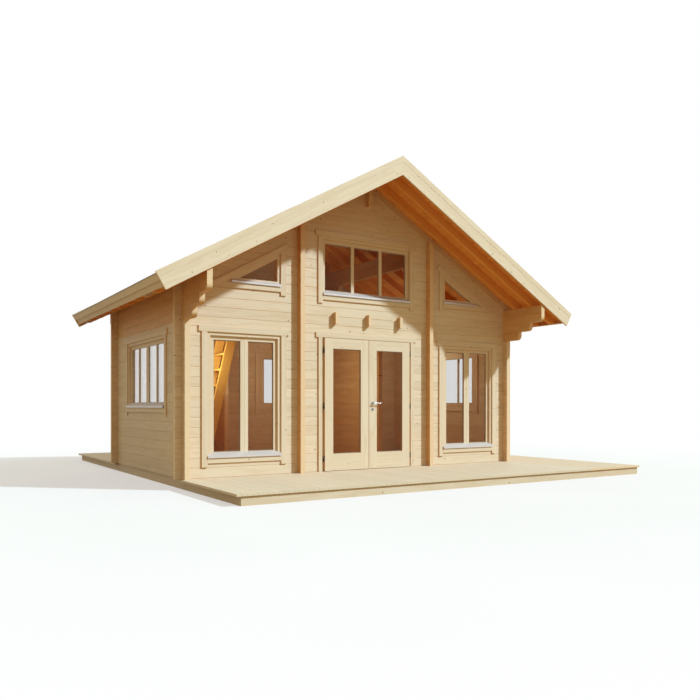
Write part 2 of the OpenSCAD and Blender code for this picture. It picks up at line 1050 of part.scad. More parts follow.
// Boards round the triangular window on the right, outside and inside
module gable_cover() {
    side_x = gable_win_x + trim_lap;
    foot_z = gable_sill_z - sill_board_drop - sill_board_w;
    edge = trim_w - trim_lap;
    length = (gable_win_w + edge + ear_side) / cos(pitch);
    both_faces()
        upright(-trim_t, trim_t) {
            // sloping board with its ear over the upright board
            intersection() {
                on_window_slope()
                    translate([-gable_win_w, -edge])
                        square([gable_win_w + length, trim_w]);
                translate([0, foot_z])
                    square(house_w);
            }
            // upright board and the board under the sill, cut off along the sloping one
            intersection() {
                on_window_slope()
                    translate([-gable_win_w, -edge])
                        square(house_w);
                union() {
                    translate([side_x - trim_w, foot_z - ear_down])
                        square([trim_w, gable_win_w]);
                    translate([side_x - trim_w, foot_z])
                        square([2 * gable_win_w, sill_board_w]);
                }
            }
        }
}

// Boards round the door, outside and inside
module door_cover() {
    side_x = door_half - jamb_w + jamb_show;
    head = leaf_lift + leaf_h + leaf_lift;
    both_faces()
        upright(-trim_t, trim_t) {
            for (x = [-side_x - door_trim_w, side_x])
                translate([x, 0])
                    square([door_trim_w, head]);
            translate([-side_x - door_trim_w - ear_side, head])
                square([2 * (side_x + door_trim_w + ear_side), door_head_w]);
        }
}

module cover_boards() {
    color(pale) {
        both_sides() {
            at_tall_window()
                window_cover(tall_win_w, tall_win_h);
            at_side_window()
                window_cover(side_win_w, side_win_h);
            at_front()
                gable_cover();
            gable_battens();
        }
        at_loft_window()
            window_cover(loft_win_w, loft_win_h, loft_lap);
        at_rear_window()
            window_cover(rear_win_w, side_win_h);
        at_front()
            door_cover();
    }
}

// Height of a metal sill's underside over the opening, at a depth y behind the wall's face
function sill_z(y) = foot_w + seat_gap + y * tan(sill_slope);

// Metal from x0 to x1 that slopes down from a depth y to the front edge
module sill_sheet(x0, x1, y) {
    out = -trim_t - sill_out;
    rise = sill_t / cos(sill_slope);
    translate([x0, 0, 0])
        rotate([90, 0, 90])
            linear_extrude(x1 - x0)
                polygon([[y, sill_z(y)], [y, sill_z(y) + rise], [out, sill_z(out) + rise], [out, sill_z(out)]]);
}

// Its lip, which hangs down along the front edge from x0 to x1
module sill_lip_board(x0, x1) {
    out = -trim_t - sill_out;
    translate([x0, out - sill_t, sill_z(out) + sill_t / cos(sill_slope) - sill_lip])
        cube([x1 - x0, sill_t, sill_lip]);
}

// A metal sill in front of a casement, fitted between the jambs and between the cover boards
module window_sill(w, lap = trim_lap) {
    front = w / 2 - lap;
    back = min(front, w / 2 - frame_w - seat_gap);
    sill_sheet(-back, back, casement_y - sill_off);
    sill_sheet(-front, front, -seat_gap);
    sill_lip_board(-front, front);
}

module window_sills() {
    // where the sloping cover board's lower edge meets the sheet
    tip = trim_lap / sin(pitch) + (sill_z(0) + sill_t / cos(sill_slope)) / tan(pitch);
    color(metal) {
        both_sides() {
            at_tall_window()
                window_sill(tall_win_w);
            at_side_window()
                window_sill(side_win_w);
            at_front()
                translate([gable_win_x, 0, gable_sill_z]) {
                    sill_sheet(trim_lap, gable_win_w - tip, -seat_gap);
                    sill_lip_board(trim_lap, gable_win_w - tip);
                }
        }
        at_loft_window()
            window_sill(loft_win_w, loft_lap);
        at_rear_window()
            window_sill(rear_win_w);
    }
}

// ---- Door ----

module door_frame() {
    clear = door_half - jamb_w;
    head = leaf_lift + leaf_h + leaf_gap;
    color(pale)
        at_front() {
            difference() {
                translate([-door_half, 0, 0])
                    cube([2 * door_half, wall_t, head_z - door_settle]);
                translate([-clear, -over, -over])
                    cube([2 * clear, leaf_t - leaf_proud + leaf_gap + over, head + over]);
                translate([-clear + stop_w, -over, threshold_h])
                    cube([2 * (clear - stop_w), wall_t + 2 * over, head - stop_w - threshold_h]);
            }
            both_sides()
                for (z = hinge_zs)
                    frame_knuckle(z);
        }
}

// The lower half of a right hinge, on a plate that stands on the jamb
module frame_knuckle(z) {
    h = hinge_h / 2;
    translate([hinge_x, hinge_y, z - h]) {
        cylinder(r = knuckle_r, h = h, $fn = 32);
        translate([-hinge_t / 2, 0, 0])
            cube([hinge_t, -hinge_y, h]);
    }
}

// The upper half of a right hinge, on a plate from the leaf's edge
module leaf_knuckle(z) {
    h = hinge_h / 2;
    translate([hinge_x, hinge_y, z + seat_gap]) {
        cylinder(r = knuckle_r, h = h, $fn = 32);
        translate([-knuckle_off, -hinge_t / 2, 0])
            cube([knuckle_off, hinge_t, h]);
    }
}

// The right leaf's frame round its glass, with its halves of the hinges
module leaf() {
    difference() {
        translate([meet_gap, -leaf_proud, leaf_lift])
            cube([leaf_w, leaf_t, leaf_h]);
        leaf_light(-leaf_proud - over, leaf_t + 2 * over);
    }
    for (z = hinge_zs)
        leaf_knuckle(z);
}

// The space for the right leaf's glass, from y over a depth d
module leaf_light(y, d) {
    translate([meet_gap + leaf_stile, y, leaf_lift + leaf_bottom])
        cube([leaf_w - 2 * leaf_stile, d, leaf_h - leaf_bottom - leaf_top]);
}

// A rod through the leaf at the height z, its ends a distance out from both faces
module through_leaf(z, r, out) {
    translate([meet_gap + spindle_x, leaf_t - leaf_proud + out, z])
        rotate([90, 0, 0])
            cylinder(r = r, h = leaf_t + 2 * out, $fn = 48);
}

module right_door() {
    color(pale)
        at_front()
            difference() {
                union() {
                    leaf();
                    through_leaf(spindle_z, rose_r, rose_t);
                    through_leaf(spindle_z - key_drop, rose_r, rose_t);
                }
                through_leaf(spindle_z, lever_r + spindle_gap, rose_t + over);
            }
}

module left_door() {
    color(pale)
        left()
            at_front()
                leaf();
}

module right_door_glass() {
    color(pane)
        at_front()
            leaf_light(glass_y - leaf_proud, glass_t);
}

module left_door_glass() {
    left()
        right_door_glass();
}

// Spindle through the leaf with a lever on either side
module door_handle() {
    color(metal)
        at_front() {
            through_leaf(spindle_z, lever_r, lever_out);
            for (y = [-leaf_proud - lever_out, leaf_t - leaf_proud + lever_out])
                translate([meet_gap + spindle_x - lever_r, y, spindle_z])
                    rotate([0, 90, 0])
                        cylinder(r = lever_r, h = lever_l, $fn = 32);
        }
}

platform_frame();
front_deck();
side_deck();
rear_deck();
house_floor();
front_wall_left();
front_wall_right();
front_gable();
rear_wall();
left_wall();
right_wall();
left_eave_logs();
right_eave_logs();
left_inner_wall();
right_inner_wall();
ridge_beam();
left_rafters();
right_rafters();
left_roof();
right_roof();
front_left_bargeboard();
front_right_bargeboard();
rear_left_bargeboard();
rear_right_bargeboard();
left_fascia();
right_fascia();
loft_joists();
loft_floor();
loft_stair();
door_frame();
left_door();
right_door();
left_door_glass();
right_door_glass();
door_handle();
front_left_window();
front_right_window();
loft_window();
gable_windows();
left_side_window();
right_side_window();
rear_window();
window_glass();
cover_boards();
window_sills();
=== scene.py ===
# Log summer house: materials, boards, roof covering, ironmongery, camera and light, in metres.
import math
import random

import bmesh
import bpy
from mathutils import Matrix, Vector


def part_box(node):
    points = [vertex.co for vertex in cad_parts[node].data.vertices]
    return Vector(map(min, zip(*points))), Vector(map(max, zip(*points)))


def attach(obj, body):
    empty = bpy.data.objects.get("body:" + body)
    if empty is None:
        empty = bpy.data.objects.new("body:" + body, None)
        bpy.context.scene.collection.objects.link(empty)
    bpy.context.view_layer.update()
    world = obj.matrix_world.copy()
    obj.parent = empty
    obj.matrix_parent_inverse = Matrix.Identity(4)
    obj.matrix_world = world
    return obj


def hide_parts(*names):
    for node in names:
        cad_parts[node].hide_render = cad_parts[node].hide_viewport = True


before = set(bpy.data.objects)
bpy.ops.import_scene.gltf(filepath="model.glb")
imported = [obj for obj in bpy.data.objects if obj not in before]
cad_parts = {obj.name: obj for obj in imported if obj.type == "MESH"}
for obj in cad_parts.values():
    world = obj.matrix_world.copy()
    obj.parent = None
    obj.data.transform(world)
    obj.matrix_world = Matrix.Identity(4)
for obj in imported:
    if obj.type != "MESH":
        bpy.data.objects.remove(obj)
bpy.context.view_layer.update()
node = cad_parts

X, Y, Z = Vector((1, 0, 0)), Vector((0, 1, 0)), Vector((0, 0, 1))


def mm(value):
    return value / 1000


# ---- Sizes, from the CAD boxes ----

wall_low, wall_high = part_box("front_wall_right")
DECK_Z = wall_low[2]
COURSES = 15
LOG_H = (wall_high[2] - DECK_Z) / COURSES
FRONT_Y = wall_low[1]
WALL_T = wall_high[1] - wall_low[1]

PITCH = math.radians(30)
COS, SIN, TAN = math.cos(PITCH), math.sin(PITCH), math.tan(PITCH)
# along the right slope, and square to it
DOWN, OUT = Vector((COS, 0, -SIN)), Vector((SIN, 0, COS))
roof_low, roof_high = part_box("right_roof")
# heights over the rafters' undersides, square to the slope, of their upper edges and of the roof's top
RAFTER_H, ROOF_TOP = mm(120), mm(224)
APEX_Z = roof_high[2] - ROOF_TOP / COS
ROOF_Y0, ROOF_Y1 = roof_low[1], roof_high[1]
RAFTER_END = roof_high[0] / COS - ROOF_TOP * TAN

# from a window's edge to its glass, at the sides and the head and at the foot
STILE, FOOT_RAIL = mm(119), mm(70)


def middle(name, k):
    """A node's middle and half its size along axis k."""
    low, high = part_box(name)
    return (low[k] + high[k]) / 2, (high[k] - low[k]) / 2


# ---- Shader graphs ----

def linear(r, g, b):
    """A colour written as it shows, in 0 to 255."""
    def one(c):
        c /= 255
        return c / 12.92 if c <= 0.04045 else ((c + 0.055) / 1.055) ** 2.4
    return (one(r), one(g), one(b), 1.0)


class Graph:
    """The nodes of a new material or world. Sockets and constants mix freely as inputs."""

    def __init__(self, owner):
        self.owner = owner
        owner.use_nodes = True
        self.tree = owner.node_tree
        self.tree.nodes.clear()

    def plug(self, made, key, value):
        if isinstance(value, bpy.types.NodeSocket):
            self.tree.links.new(value, made.inputs[key])
        else:
            made.inputs[key].default_value = value

    def add(self, kind, inputs=(), **props):
        made = self.tree.nodes.new(kind)
        for key, value in props.items():
            setattr(made, key, value)
        for key, value in dict(inputs).items():
            self.plug(made, key, value)
        return made

    def coord(self, kind="Object"):
        return self.add("ShaderNodeTexCoord").outputs[kind]

    def math(self, op, a, b=0.0, c=0.0, clamp=False):
        made = self.add("ShaderNodeMath", {0: a, 1: b, 2: c}, operation=op, use_clamp=clamp)
        return made.outputs[0]

    def length(self, a, b):
        """The length of two sides at a right angle."""
        squares = self.math("ADD", self.math("MULTIPLY", a, a), self.math("MULTIPLY", b, b))
        return self.math("SQRT", squares)

    def sway(self, value, amount, base):
        """base, shifted by amount times value's distance from a half."""
        return self.math("MULTIPLY_ADD", self.math("SUBTRACT", value, 0.5), amount, base)

    def dot(self, a, b):
        made = self.add("ShaderNodeVectorMath", {0: a, 1: tuple(b)}, operation="DOT_PRODUCT")
        return made.outputs["Value"]

    def vector(self, x, y, z):
        return self.add("ShaderNodeCombineXYZ", {0: x, 1: y, 2: z}).outputs[0]

    def split(self, vector):
        return self.add("ShaderNodeSeparateXYZ", {0: vector}).outputs

    def scaled(self, vector, x, y, z):
        """A vector with its components multiplied by x, y and z."""
        parts = self.split(vector)
        return self.vector(*(self.math("MULTIPLY", part, by) for part, by in zip(parts, (x, y, z))))

    def mix_vector(self, factor, a, b):
        made = self.add("ShaderNodeMix", data_type="VECTOR")
        for key, value in ((0, factor), (4, a), (5, b)):
            self.plug(made, key, value)
        return made.outputs[1]

    def blend(self, factor, a, b, kind="MIX"):
        made = self.add("ShaderNodeMix", data_type="RGBA", blend_type=kind)
        for key, value in ((0, factor), (6, a), (7, b)):
            self.plug(made, key, value)
        return made.outputs[2]

    def ramp(self, value, low, high, to_low=0.0, to_high=1.0, smooth=True):
        made = self.add("ShaderNodeMapRange", {0: value, 1: low, 2: high, 3: to_low, 4: to_high})
        made.interpolation_type = "SMOOTHSTEP" if smooth else "LINEAR"
        return made.outputs[0]

    def noise(self, vector, scale, detail, rough=0.5):
        made = self.add("ShaderNodeTexNoise",
                        {"Vector": vector, "Scale": scale, "Detail": detail, "Roughness": rough})
        return made.outputs["Fac"]

    def surface(self, colour, rough, height, strength, depth, **more):
        """The shader with its bump. What is in more goes to its other inputs."""
        bump = self.add("ShaderNodeBump", {"Strength": strength, "Distance": depth, "Height": height})
        shader = self.add("ShaderNodeBsdfPrincipled", {"Base Color": colour, "Roughness": rough,
                                                       "Normal": bump.outputs[0]})
        for key, value in more.items():
            self.plug(shader, key.replace("_", " "), value)
        self.add("ShaderNodeOutputMaterial", {0: shader.outputs[0]})
        return self.owner


def new_graph(name):
    return Graph(bpy.data.materials.new(name))


# ---- Timber ----

def shades(**shown):
    """The colours of a timber: its end grain, early wood, late wood and knots."""
    return {part: linear(*rgb) for part, rgb in shown.items()}


BRIGHT = shades(end=(224, 206, 176), early=(231, 217, 192), late=(214, 192, 156), knot=(164, 120, 82))
PALE = shades(end=(238, 208, 166), early=(231, 213, 184), late=(213, 184, 142), knot=(160, 112, 72))
WARM = shades(end=(240, 196, 136), early=(226, 188, 136), late=(204, 152, 92), knot=(134, 80, 42))
# painted shade: the rafters and the roof lining, always in the eaves' shade, take this deep orange tone
AMBER_PAINTED_SHADE = shades(end=(238, 196, 136), early=(246, 182, 104), late=(226, 150, 74), knot=(130, 74, 38))
HONEY = shades(end=(238, 190, 110), early=(244, 196, 104), late=(226, 160, 70), knot=(130, 72, 32))
# painted shade: the inner walls' ends and the eave logs, whose sides lie in shade, take the warm tone there
# so that the shade reads orange; their end grain keeps the pale tone
CROSSING_PAINTED_SHADE = dict(WARM, end=PALE["end"])

# painted shade: what a timber's colour is multiplied by in the light that it throws on its neighbours, to
# deepen and redden the shade that this light fills
PAINTED_SHADE_TINT, PAINTED_SHADE_TINT_BY_DECK = (0.86, 0.54, 0.23, 1.0), (0.64, 0.45, 0.24, 1.0)

# distance between two growth rings, and how far they wander along a board
RING_GAP, RING_WANDER = mm(4.6), mm(12)
# where the heart of a board's tree lies: how far it varies across the board, and its depth's least and spread
HEART_ACROSS, HEART_LEAST, HEART_MORE = mm(90), mm(20), mm(100)
# a piece of board that has one chance of a knot, the knots' radii, and how far they push the rings aside
CELL_U, CELL_V = mm(420), mm(115)
KNOT_R, KNOT_R_MORE, SWIRL = mm(4), mm(7), mm(9)
# how much late wood, slow change, fibres and the board's own draw each tell in the colour
LATE_TINT, SLOW_TINT, FIBRE_TINT, BOARD_TINT, LEAST_TINT = 0.30, 0.40, 0.26, 0.26, 0.06
# how far the boards differ in lightness, and how far end grain takes on its own colour
LIGHTNESS, END_SHARE = 0.07, 0.8
# changes of the wood in a metre, along the grain, across it and through the board
SLOW_GRAIN, FIBRE_GRAIN = (1.3, 7.0, 7.0), (9.0, 420.0, 420.0)
# what keeps the numbers of uprights and of the right side apart, and the length that boards are drawn from
UPRIGHT_SERIES, RIGHT_SERIES, TREE_L = 41.0, 53.0, 37.0


def axes(g, place, along, across):
    """Position as (along the grain, across it, through the board)."""
    return g.vector(g.dot(place, along), g.dot(place, across), g.dot(place, along.cross(across)))


def lay_grain(g, along, across, mirrored, uprights, by_normal):
    """A point's place in its board, how squarely its face looks along the grain, and two flags or None:
    whether it is in an upright, and whether it is on the right of a mirrored pair."""
    place, normal = g.coord(), g.coord("Normal")
    in_upright = on_right = None
    if mirrored:
        x, y, z = g.split(place)
        place = g.vector(g.math("ABSOLUTE", x), y, z)
        on_right = g.math("GREATER_THAN", x, 0.0)
        nx, ny, nz = g.split(normal)
        normal = g.vector(g.math("MULTIPLY", nx, g.math("MULTIPLY_ADD", on_right, 2.0, -1.0)), ny, nz)
    lie = axes(g, place, along, across)
    end_on = g.math("ABSOLUTE", g.dot(normal, along))
    if uprights:
        axis, bands, upward = uprights
        level = g.dot(place, axis)
        in_upright = 0.0
        for centre, half in bands:
            in_upright = g.math("MAXIMUM", in_upright, g.math("COMPARE", level, centre, half))
        lie = g.mix_vector(in_upright, lie, axes(g, place, upward, axis))
        turned = g.math("ABSOLUTE", g.dot(normal, upward))
        end_on = g.math("ADD", g.math("MULTIPLY", in_upright, turned),
                        g.math("MULTIPLY", g.math("SUBTRACT", 1.0, in_upright), end_on))
    if by_normal:
        sideways = g.math("GREATER_THAN", g.math("ABSOLUTE", g.dot(normal, X)), 0.7)
        lie = g.mix_vector(sideways, lie, axes(g, place, Y, Z))
        end_on = 0.0
    return lie, end_on, in_upright, on_right


def number_boards(g, v, board, start, seed, in_upright, on_right):
    """A number for each board. Uprights and the right side have numbers of their own."""
    number = g.math("ADD", g.math("FLOOR", g.math("DIVIDE", g.math("SUBTRACT", v, start), board)), seed)
    if in_upright is not None:
        number = g.math("MULTIPLY_ADD", in_upright, UPRIGHT_SERIES, number)
    if on_right is not None:
        number = g.math("MULTIPLY_ADD", on_right, RIGHT_SERIES, number)
    return number


def scatter_knots(g, own_u, v, number, share):
    """A point's distance from the nearest cell's middle in knot radii, and whether a knot is there."""
    at_u, at_v = g.math("DIVIDE", own_u, CELL_U), g.math("DIVIDE", v, CELL_V)
    cells = g.add("ShaderNodeTexVoronoi", {"Vector": g.vector(at_u, at_v, number), "Scale": 1.0,
                                           "Randomness": 0.9}, voronoi_dimensions="3D")
    cell_u, cell_v, _ = g.split(cells.outputs["Position"])
    size, draw, _ = g.split(cells.outputs["Color"])
    away = g.length(g.math("MULTIPLY", g.math("SUBTRACT", cell_u, at_u), CELL_U),
                    g.math("MULTIPLY", g.math("SUBTRACT", cell_v, at_v), CELL_V))
    reach = g.math("DIVIDE", away, g.math("MULTIPLY_ADD", size, KNOT_R_MORE, KNOT_R))
    return reach, g.math("LESS_THAN", draw, share)


def draw_knots(g, colour, tone, reach, there):
    """The colour with dark-rimmed knots in it, ringed inside."""
    knot = g.math("MULTIPLY", there, g.ramp(reach, 0.75, 1.15, 1.0, 0.0))
    rim = g.math("MULTIPLY", there, g.math("COMPARE", reach, 1.0, 0.16))
    ringed = g.ramp(g.math("FRACT", g.math("MULTIPLY", reach, 2.5)), 0.2, 0.8)
    core = g.blend(g.math("MULTIPLY", ringed, 0.5), tone["knot"], tone["late"])
    colour = g.blend(g.math("MULTIPLY", knot, 0.85), colour, core)
    return g.blend(g.math("MULTIPLY", rim, 0.55), colour, tone["knot"])


def timber(name, along, across, board, start=0.0, tone=PALE, mirrored=False, uprights=None, by_normal=False,
           knots=0.30, seed=0.0, spread=1.0, thrown=PAINTED_SHADE_TINT):
    """Planed softwood with growth rings, fibres and knots, and a tone of its own for each board.

    The boards are board wide, counted across from start. With mirrored, along and across are those of the
    right side, and the left side is its mirror image. uprights is (axis, [(middle, half width)], upward), and
    the grain runs along upward inside those bands. With by_normal, faces that look along X take their grain
    along Y. knots is a cell's chance of a knot, and spread is how much the boards differ."""
    g = new_graph(name)
    lie, end_on, in_upright, on_right = lay_grain(g, along, across, mirrored, uprights, by_normal)
    u, v, w = g.split(lie)
    number = number_boards(g, v, board, start, seed, in_upright, on_right)
    draws = g.add("ShaderNodeTexWhiteNoise", {"W": number}, noise_dimensions="1D")
    draw_1, draw_2, draw_3 = g.split(draws.outputs["Color"])

    # the heart of this board's own tree, and the distance from it
    own_u = g.math("MULTIPLY_ADD", draw_1, TREE_L, u)
    own_place = g.vector(own_u, v, w)
    slow = g.noise(g.scaled(own_place, *SLOW_GRAIN), 1.0, 2.0)
    if seed or uprights or mirrored:
        board_v = g.math("SUBTRACT", v, g.math("PINGPONG", v, board))
        heart_v = g.math("MULTIPLY_ADD", draw_2, HEART_ACROSS, board_v)
    else:
        in_board = g.math("MULTIPLY_ADD", draw_2, 1.4, -0.2)
        heart_v = g.math("MULTIPLY_ADD", g.math("ADD", number, in_board), board, start)
    from_w = g.math("ADD", w, g.math("MULTIPLY_ADD", draw_3, HEART_MORE, HEART_LEAST))
    radius = g.math("MULTIPLY_ADD", slow, RING_WANDER, g.length(g.math("SUBTRACT", v, heart_v), from_w))
    reach, there = scatter_knots(g, own_u, v, number, knots)
    radius = g.math("ADD", radius, g.math("MULTIPLY", there, g.ramp(reach, 0.6, 4.5, SWIRL, 0.0)))

    ring = g.math("FRACT", g.math("DIVIDE", radius, RING_GAP))
    late = g.math("MULTIPLY", g.ramp(ring, 0.35, 0.92), g.ramp(ring, 1.0, 0.93))
    fibre = g.noise(g.scaled(own_place, *FIBRE_GRAIN), 1.0, 2.0, 0.6)
    tint = g.sway(slow, SLOW_TINT, g.math("MULTIPLY", late, LATE_TINT))
    tint = g.sway(draw_2, BOARD_TINT * spread, g.sway(fibre, FIBRE_TINT, tint))
    tint = g.math("ADD", tint, LEAST_TINT, clamp=True)
    colour = g.blend(tint, tone["early"], tone["late"])
    value = g.sway(draw_3, LIGHTNESS * spread, 1.0)
    colour = g.blend(1.0, colour, g.vector(value, value, value), "MULTIPLY")
    end = g.ramp(end_on, 0.75, 0.95)
    colour = g.blend(g.math("MULTIPLY", end, END_SHARE), colour, tone["end"])
    colour = draw_knots(g, colour, tone, reach, there)

    # painted shade: the colour that the timber throws on its neighbours is deepened, so that the shade it
    # lights turns orange
    is_thrown = g.add("ShaderNodeLightPath").outputs["Is Diffuse Ray"]
    colour = g.blend(is_thrown, colour, g.blend(1.0, colour, thrown, "MULTIPLY"))
    height = g.math("MULTIPLY_ADD", late, 0.5, g.math("MULTIPLY", fibre, 0.5))
    rough = g.ramp(g.math("SUBTRACT", fibre, g.math("MULTIPLY", late, 0.3)), -0.2, 0.9, 0.50, 0.68, False)
    return g.surface(colour, rough, height, 0.25, mm(0.4), IOR=1.45, Specular_IOR_Level=0.35)


# ---- Other materials ----

def metal(name, colour, rough, metallic=1.0, grain=(60, 60, 60)):
    """Metal with fine streaks, closer together along an axis with a larger grain."""
    g = new_graph(name)
    streak = g.noise(g.scaled(g.coord(), *grain), 8.0, 3.0)
    worn = tuple(0.86 * c for c in colour[:3]) + (1.0,)
    tone = g.blend(g.ramp(streak, 0.3, 0.7), colour, worn)
    return g.surface(tone, g.ramp(streak, 0.2, 0.8, rough * 0.8, rough * 1.25), streak, 0.05, mm(0.1),
                     Metallic=metallic)


def glass(name, painted_reflection_below):
    """Clear glazing. Panes left of the given x get a painted reflection of the pale surroundings instead:
    pale, mirror-like and less clear.
    """
    g = new_graph(name)
    place = g.coord()
    wave = g.noise(place, 2.2, 1.0)
    # painted reflection: the panes of the left side window are made pale and mirror-like
    painted_reflection = g.math("LESS_THAN", g.split(place)[0], painted_reflection_below)
    clear = g.blend(g.ramp(wave, 0.3, 0.7), linear(40, 44, 42), linear(52, 55, 52))
    colour = g.blend(painted_reflection, clear, linear(232, 236, 240))
    alpha = g.math("MULTIPLY_ADD", painted_reflection, 0.60, 0.10)
    metallic = g.math("MULTIPLY", painted_reflection, 0.9)
    return g.surface(colour, g.ramp(wave, 0.3, 0.7, 0.008, 0.02), wave, 0.02, mm(2), IOR=1.35, Alpha=alpha,
                     Metallic=metallic)


def rubber(name):
    """Beige glazing rubber."""
    g = new_graph(name)
    dots = g.noise(g.coord(), 300.0, 2.0)
    colour = g.blend(dots, linear(150, 112, 74), linear(172, 134, 94))
    return g.surface(colour, g.ramp(dots, 0.3, 0.7, 0.6, 0.8), dots, 0.1, mm(0.2))


def felt(name):
    """Slate-grey grit, with a tone of its own for each shingle."""
    g = new_graph(name)
    place = g.coord()
    u, v, _ = g.split(axes(g, place, Y, X))
    grit = g.noise(place, 900.0, 2.0, 0.8)
    patch = g.noise(place, 2.5, 3.0)
    row = g.math("FLOOR", g.math("DIVIDE", v, SHADE_ROW))
    tab = g.math("FLOOR", g.math("DIVIDE", g.math("MULTIPLY_ADD", row, TAB / 2, u), TAB))
    draw = g.add("ShaderNodeTexWhiteNoise", {"Vector": g.vector(row, tab, 0.0)}, noise_dimensions="2D")
    shade = g.math("MULTIPLY_ADD", draw.outputs["Value"], 0.45, g.math("MULTIPLY", grit, 0.6))
    shade = g.math("MULTIPLY_ADD", patch, 0.3, g.math("SUBTRACT", shade, 0.15), clamp=True)
    colour = g.blend(shade, linear(52, 50, 49), linear(104, 100, 97))
    return g.surface(colour, g.ramp(grit, 0.2, 0.8, 0.75, 0.95), grit, 0.6, mm(1.2))


def foam(name):
    """Beaded insulation."""
    g = new_graph(name)
    beads = g.add("ShaderNodeTexVoronoi", {"Vector": g.coord(), "Scale": 260.0}).outputs[0]
    colour = g.blend(beads, linear(236, 234, 226), linear(214, 211, 202))
    return g.surface(colour, g.ramp(beads, 0.0, 1.0, 0.7, 0.9), beads, 0.3, mm(1))


# ---- Materials of the CAD nodes ----

def paint(names, material):
    for name in names:
        for slot in node[name].material_slots:
            slot.material = material


# a width that takes a piece as one board
ONE_BOARD = 1.0
RIDGE_START = 4.0


def paint_logs():
    half_log = LOG_H / 2
    paint(["front_wall_left", "front_wall_right", "front_gable", "rear_wall"],
          timber("gable_log", X, Z, LOG_H, DECK_Z))
    paint(["left_wall", "right_wall"], timber("side_log", Y, Z, LOG_H, DECK_Z - half_log))
    # painted shade: these logs take the warm tone for the orange shade on their sides
    paint(["left_eave_logs", "right_eave_logs", "left_inner_wall", "right_inner_wall"],
          timber("crossing_log_painted_shade", Y, Z, LOG_H, DECK_Z - half_log, tone=CROSSING_PAINTED_SHADE, seed=43))
    paint(["ridge_beam"], timber("ridge_log", Y, Z, ONE_BOARD, RIDGE_START, seed=3))


# stretches that get a tone of their own, and where the first one begins
RAFTER_CELL, RAFTER_START = 0.446, -2.70
JOIST_CELL, JOIST_START = 0.5, -0.75
FASCIA_CELL, PLATFORM_CELL = mm(90), 0.5
# height of the joint in a bargeboard over the rafters' undersides
BARGE_JOINT = mm(168)
BARGEBOARDS = [f"{end}_{side}_bargeboard" for end in ("front", "rear") for side in ("left", "right")]


def paint_carpentry():
    # painted shade: the rafters take the deep orange tone of the eaves' shade
    paint(["left_rafters", "right_rafters"],
          timber("rafter_timber", DOWN, Y, RAFTER_CELL, RAFTER_START, tone=AMBER_PAINTED_SHADE, mirrored=True))
    barge = timber("barge_timber", DOWN, OUT, ONE_BOARD, APEX_Z * COS + BARGE_JOINT, mirrored=True,
                   knots=0.35, spread=0.5)
    paint(BARGEBOARDS, barge)
    paint(["left_fascia", "right_fascia"],
          timber("fascia_timber", Y, OUT, FASCIA_CELL, mirrored=True, knots=0.4))
    paint(["loft_joists"], timber("joist_timber", Y, X, JOIST_CELL, JOIST_START, seed=7))
    paint(["platform_frame"], timber("platform_timber", X, Z, PLATFORM_CELL, by_normal=True, seed=11))


# half widths of the bands where two stiles meet and of the bars, and how much further out than halfway to the
# outer stile a side window's bar stands
FRONT_PAIR, SIDE_PAIR, SIDE_BAR_HALF, LOFT_BAR_HALF, SIDE_BAR_OFF = mm(57), mm(56), mm(14), mm(25), mm(28)
# (distance from the middle of the house, half width) of what stands upright in the gable and the doorway
GABLE_POST, DOOR_JAMB = (1.45, mm(40)), (mm(785), mm(44))
LEAF_STILES = ((mm(73), mm(69)), (mm(687), mm(69)), (mm(765), mm(9)))
# the stair's strings: width, slope, half their thickness, and the same with a margin
STRING_W, STAIR_SLOPE, STRING_HALF, STRING_BAND = mm(150), math.radians(77), mm(18), mm(19)


def paint_joinery(name, along, seed, bands):
    """Grain along the piece in its rails, and upright in the bands of its stiles and jambs."""
    wood = timber(name, along, Z, ONE_BOARD, uprights=(along, bands, Z), seed=seed, knots=0.12, spread=0.5)
    paint([name], wood)


def pair(centre, off, half):
    """Two bands that lie off to either side of a centre."""
    return [(centre - off, half), (centre + off, half)]


def outer_stiles(centre, half):
    return pair(centre, half - STILE / 2, STILE / 2)


def paint_windows():
    for name in ("front_left_window", "front_right_window"):
        c, half = middle(name, 0)
        paint_joinery(name, X, 5 + c, [(c, FRONT_PAIR)] + outer_stiles(c, half))
    for name in ("left_side_window", "right_side_window"):
        c, half = middle(name, 1)
        bars = pair(c, (half - STILE) / 2 + SIDE_BAR_OFF, SIDE_BAR_HALF)
        paint_joinery(name, Y, 9 + half, [(c, SIDE_PAIR)] + outer_stiles(c, half) + bars)
    c, half = middle("rear_window", 0)
    paint_joinery("rear_window", X, 13 + half, outer_stiles(c, half))
    c, half = middle("loft_window", 0)
    bars = pair(c, (half - STILE + LOFT_BAR_HALF) / 3, LOFT_BAR_HALF)
    paint_joinery("loft_window", X, 13 + half, outer_stiles(c, half) + bars)
    paint_joinery("gable_windows", X, 19, pair(0, *GABLE_POST))


def paint_doors():
    paint_joinery("door_frame", X, 23, pair(0, *DOOR_JAMB))
    for name, sign in (("left_door", -1), ("right_door", 1)):
        paint_joinery(name, X, 27 + sign, [(sign * off, half) for off, half in LEAF_STILES])


def paint_stair():
    low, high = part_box("loft_stair")
    run = high[0] - low[0] - STRING_W / math.sin(STAIR_SLOPE)
    upward = Vector((run, 0, high[2] - low[2])).normalized()
    strings = [(low[1] + STRING_HALF, STRING_BAND), (high[1] - STRING_HALF, STRING_BAND)]
    wood = timber("stair_timber", Y, X, ONE_BOARD, tone=HONEY, seed=31, uprights=(Y, strings, upward))
    paint(["loft_stair"], wood)


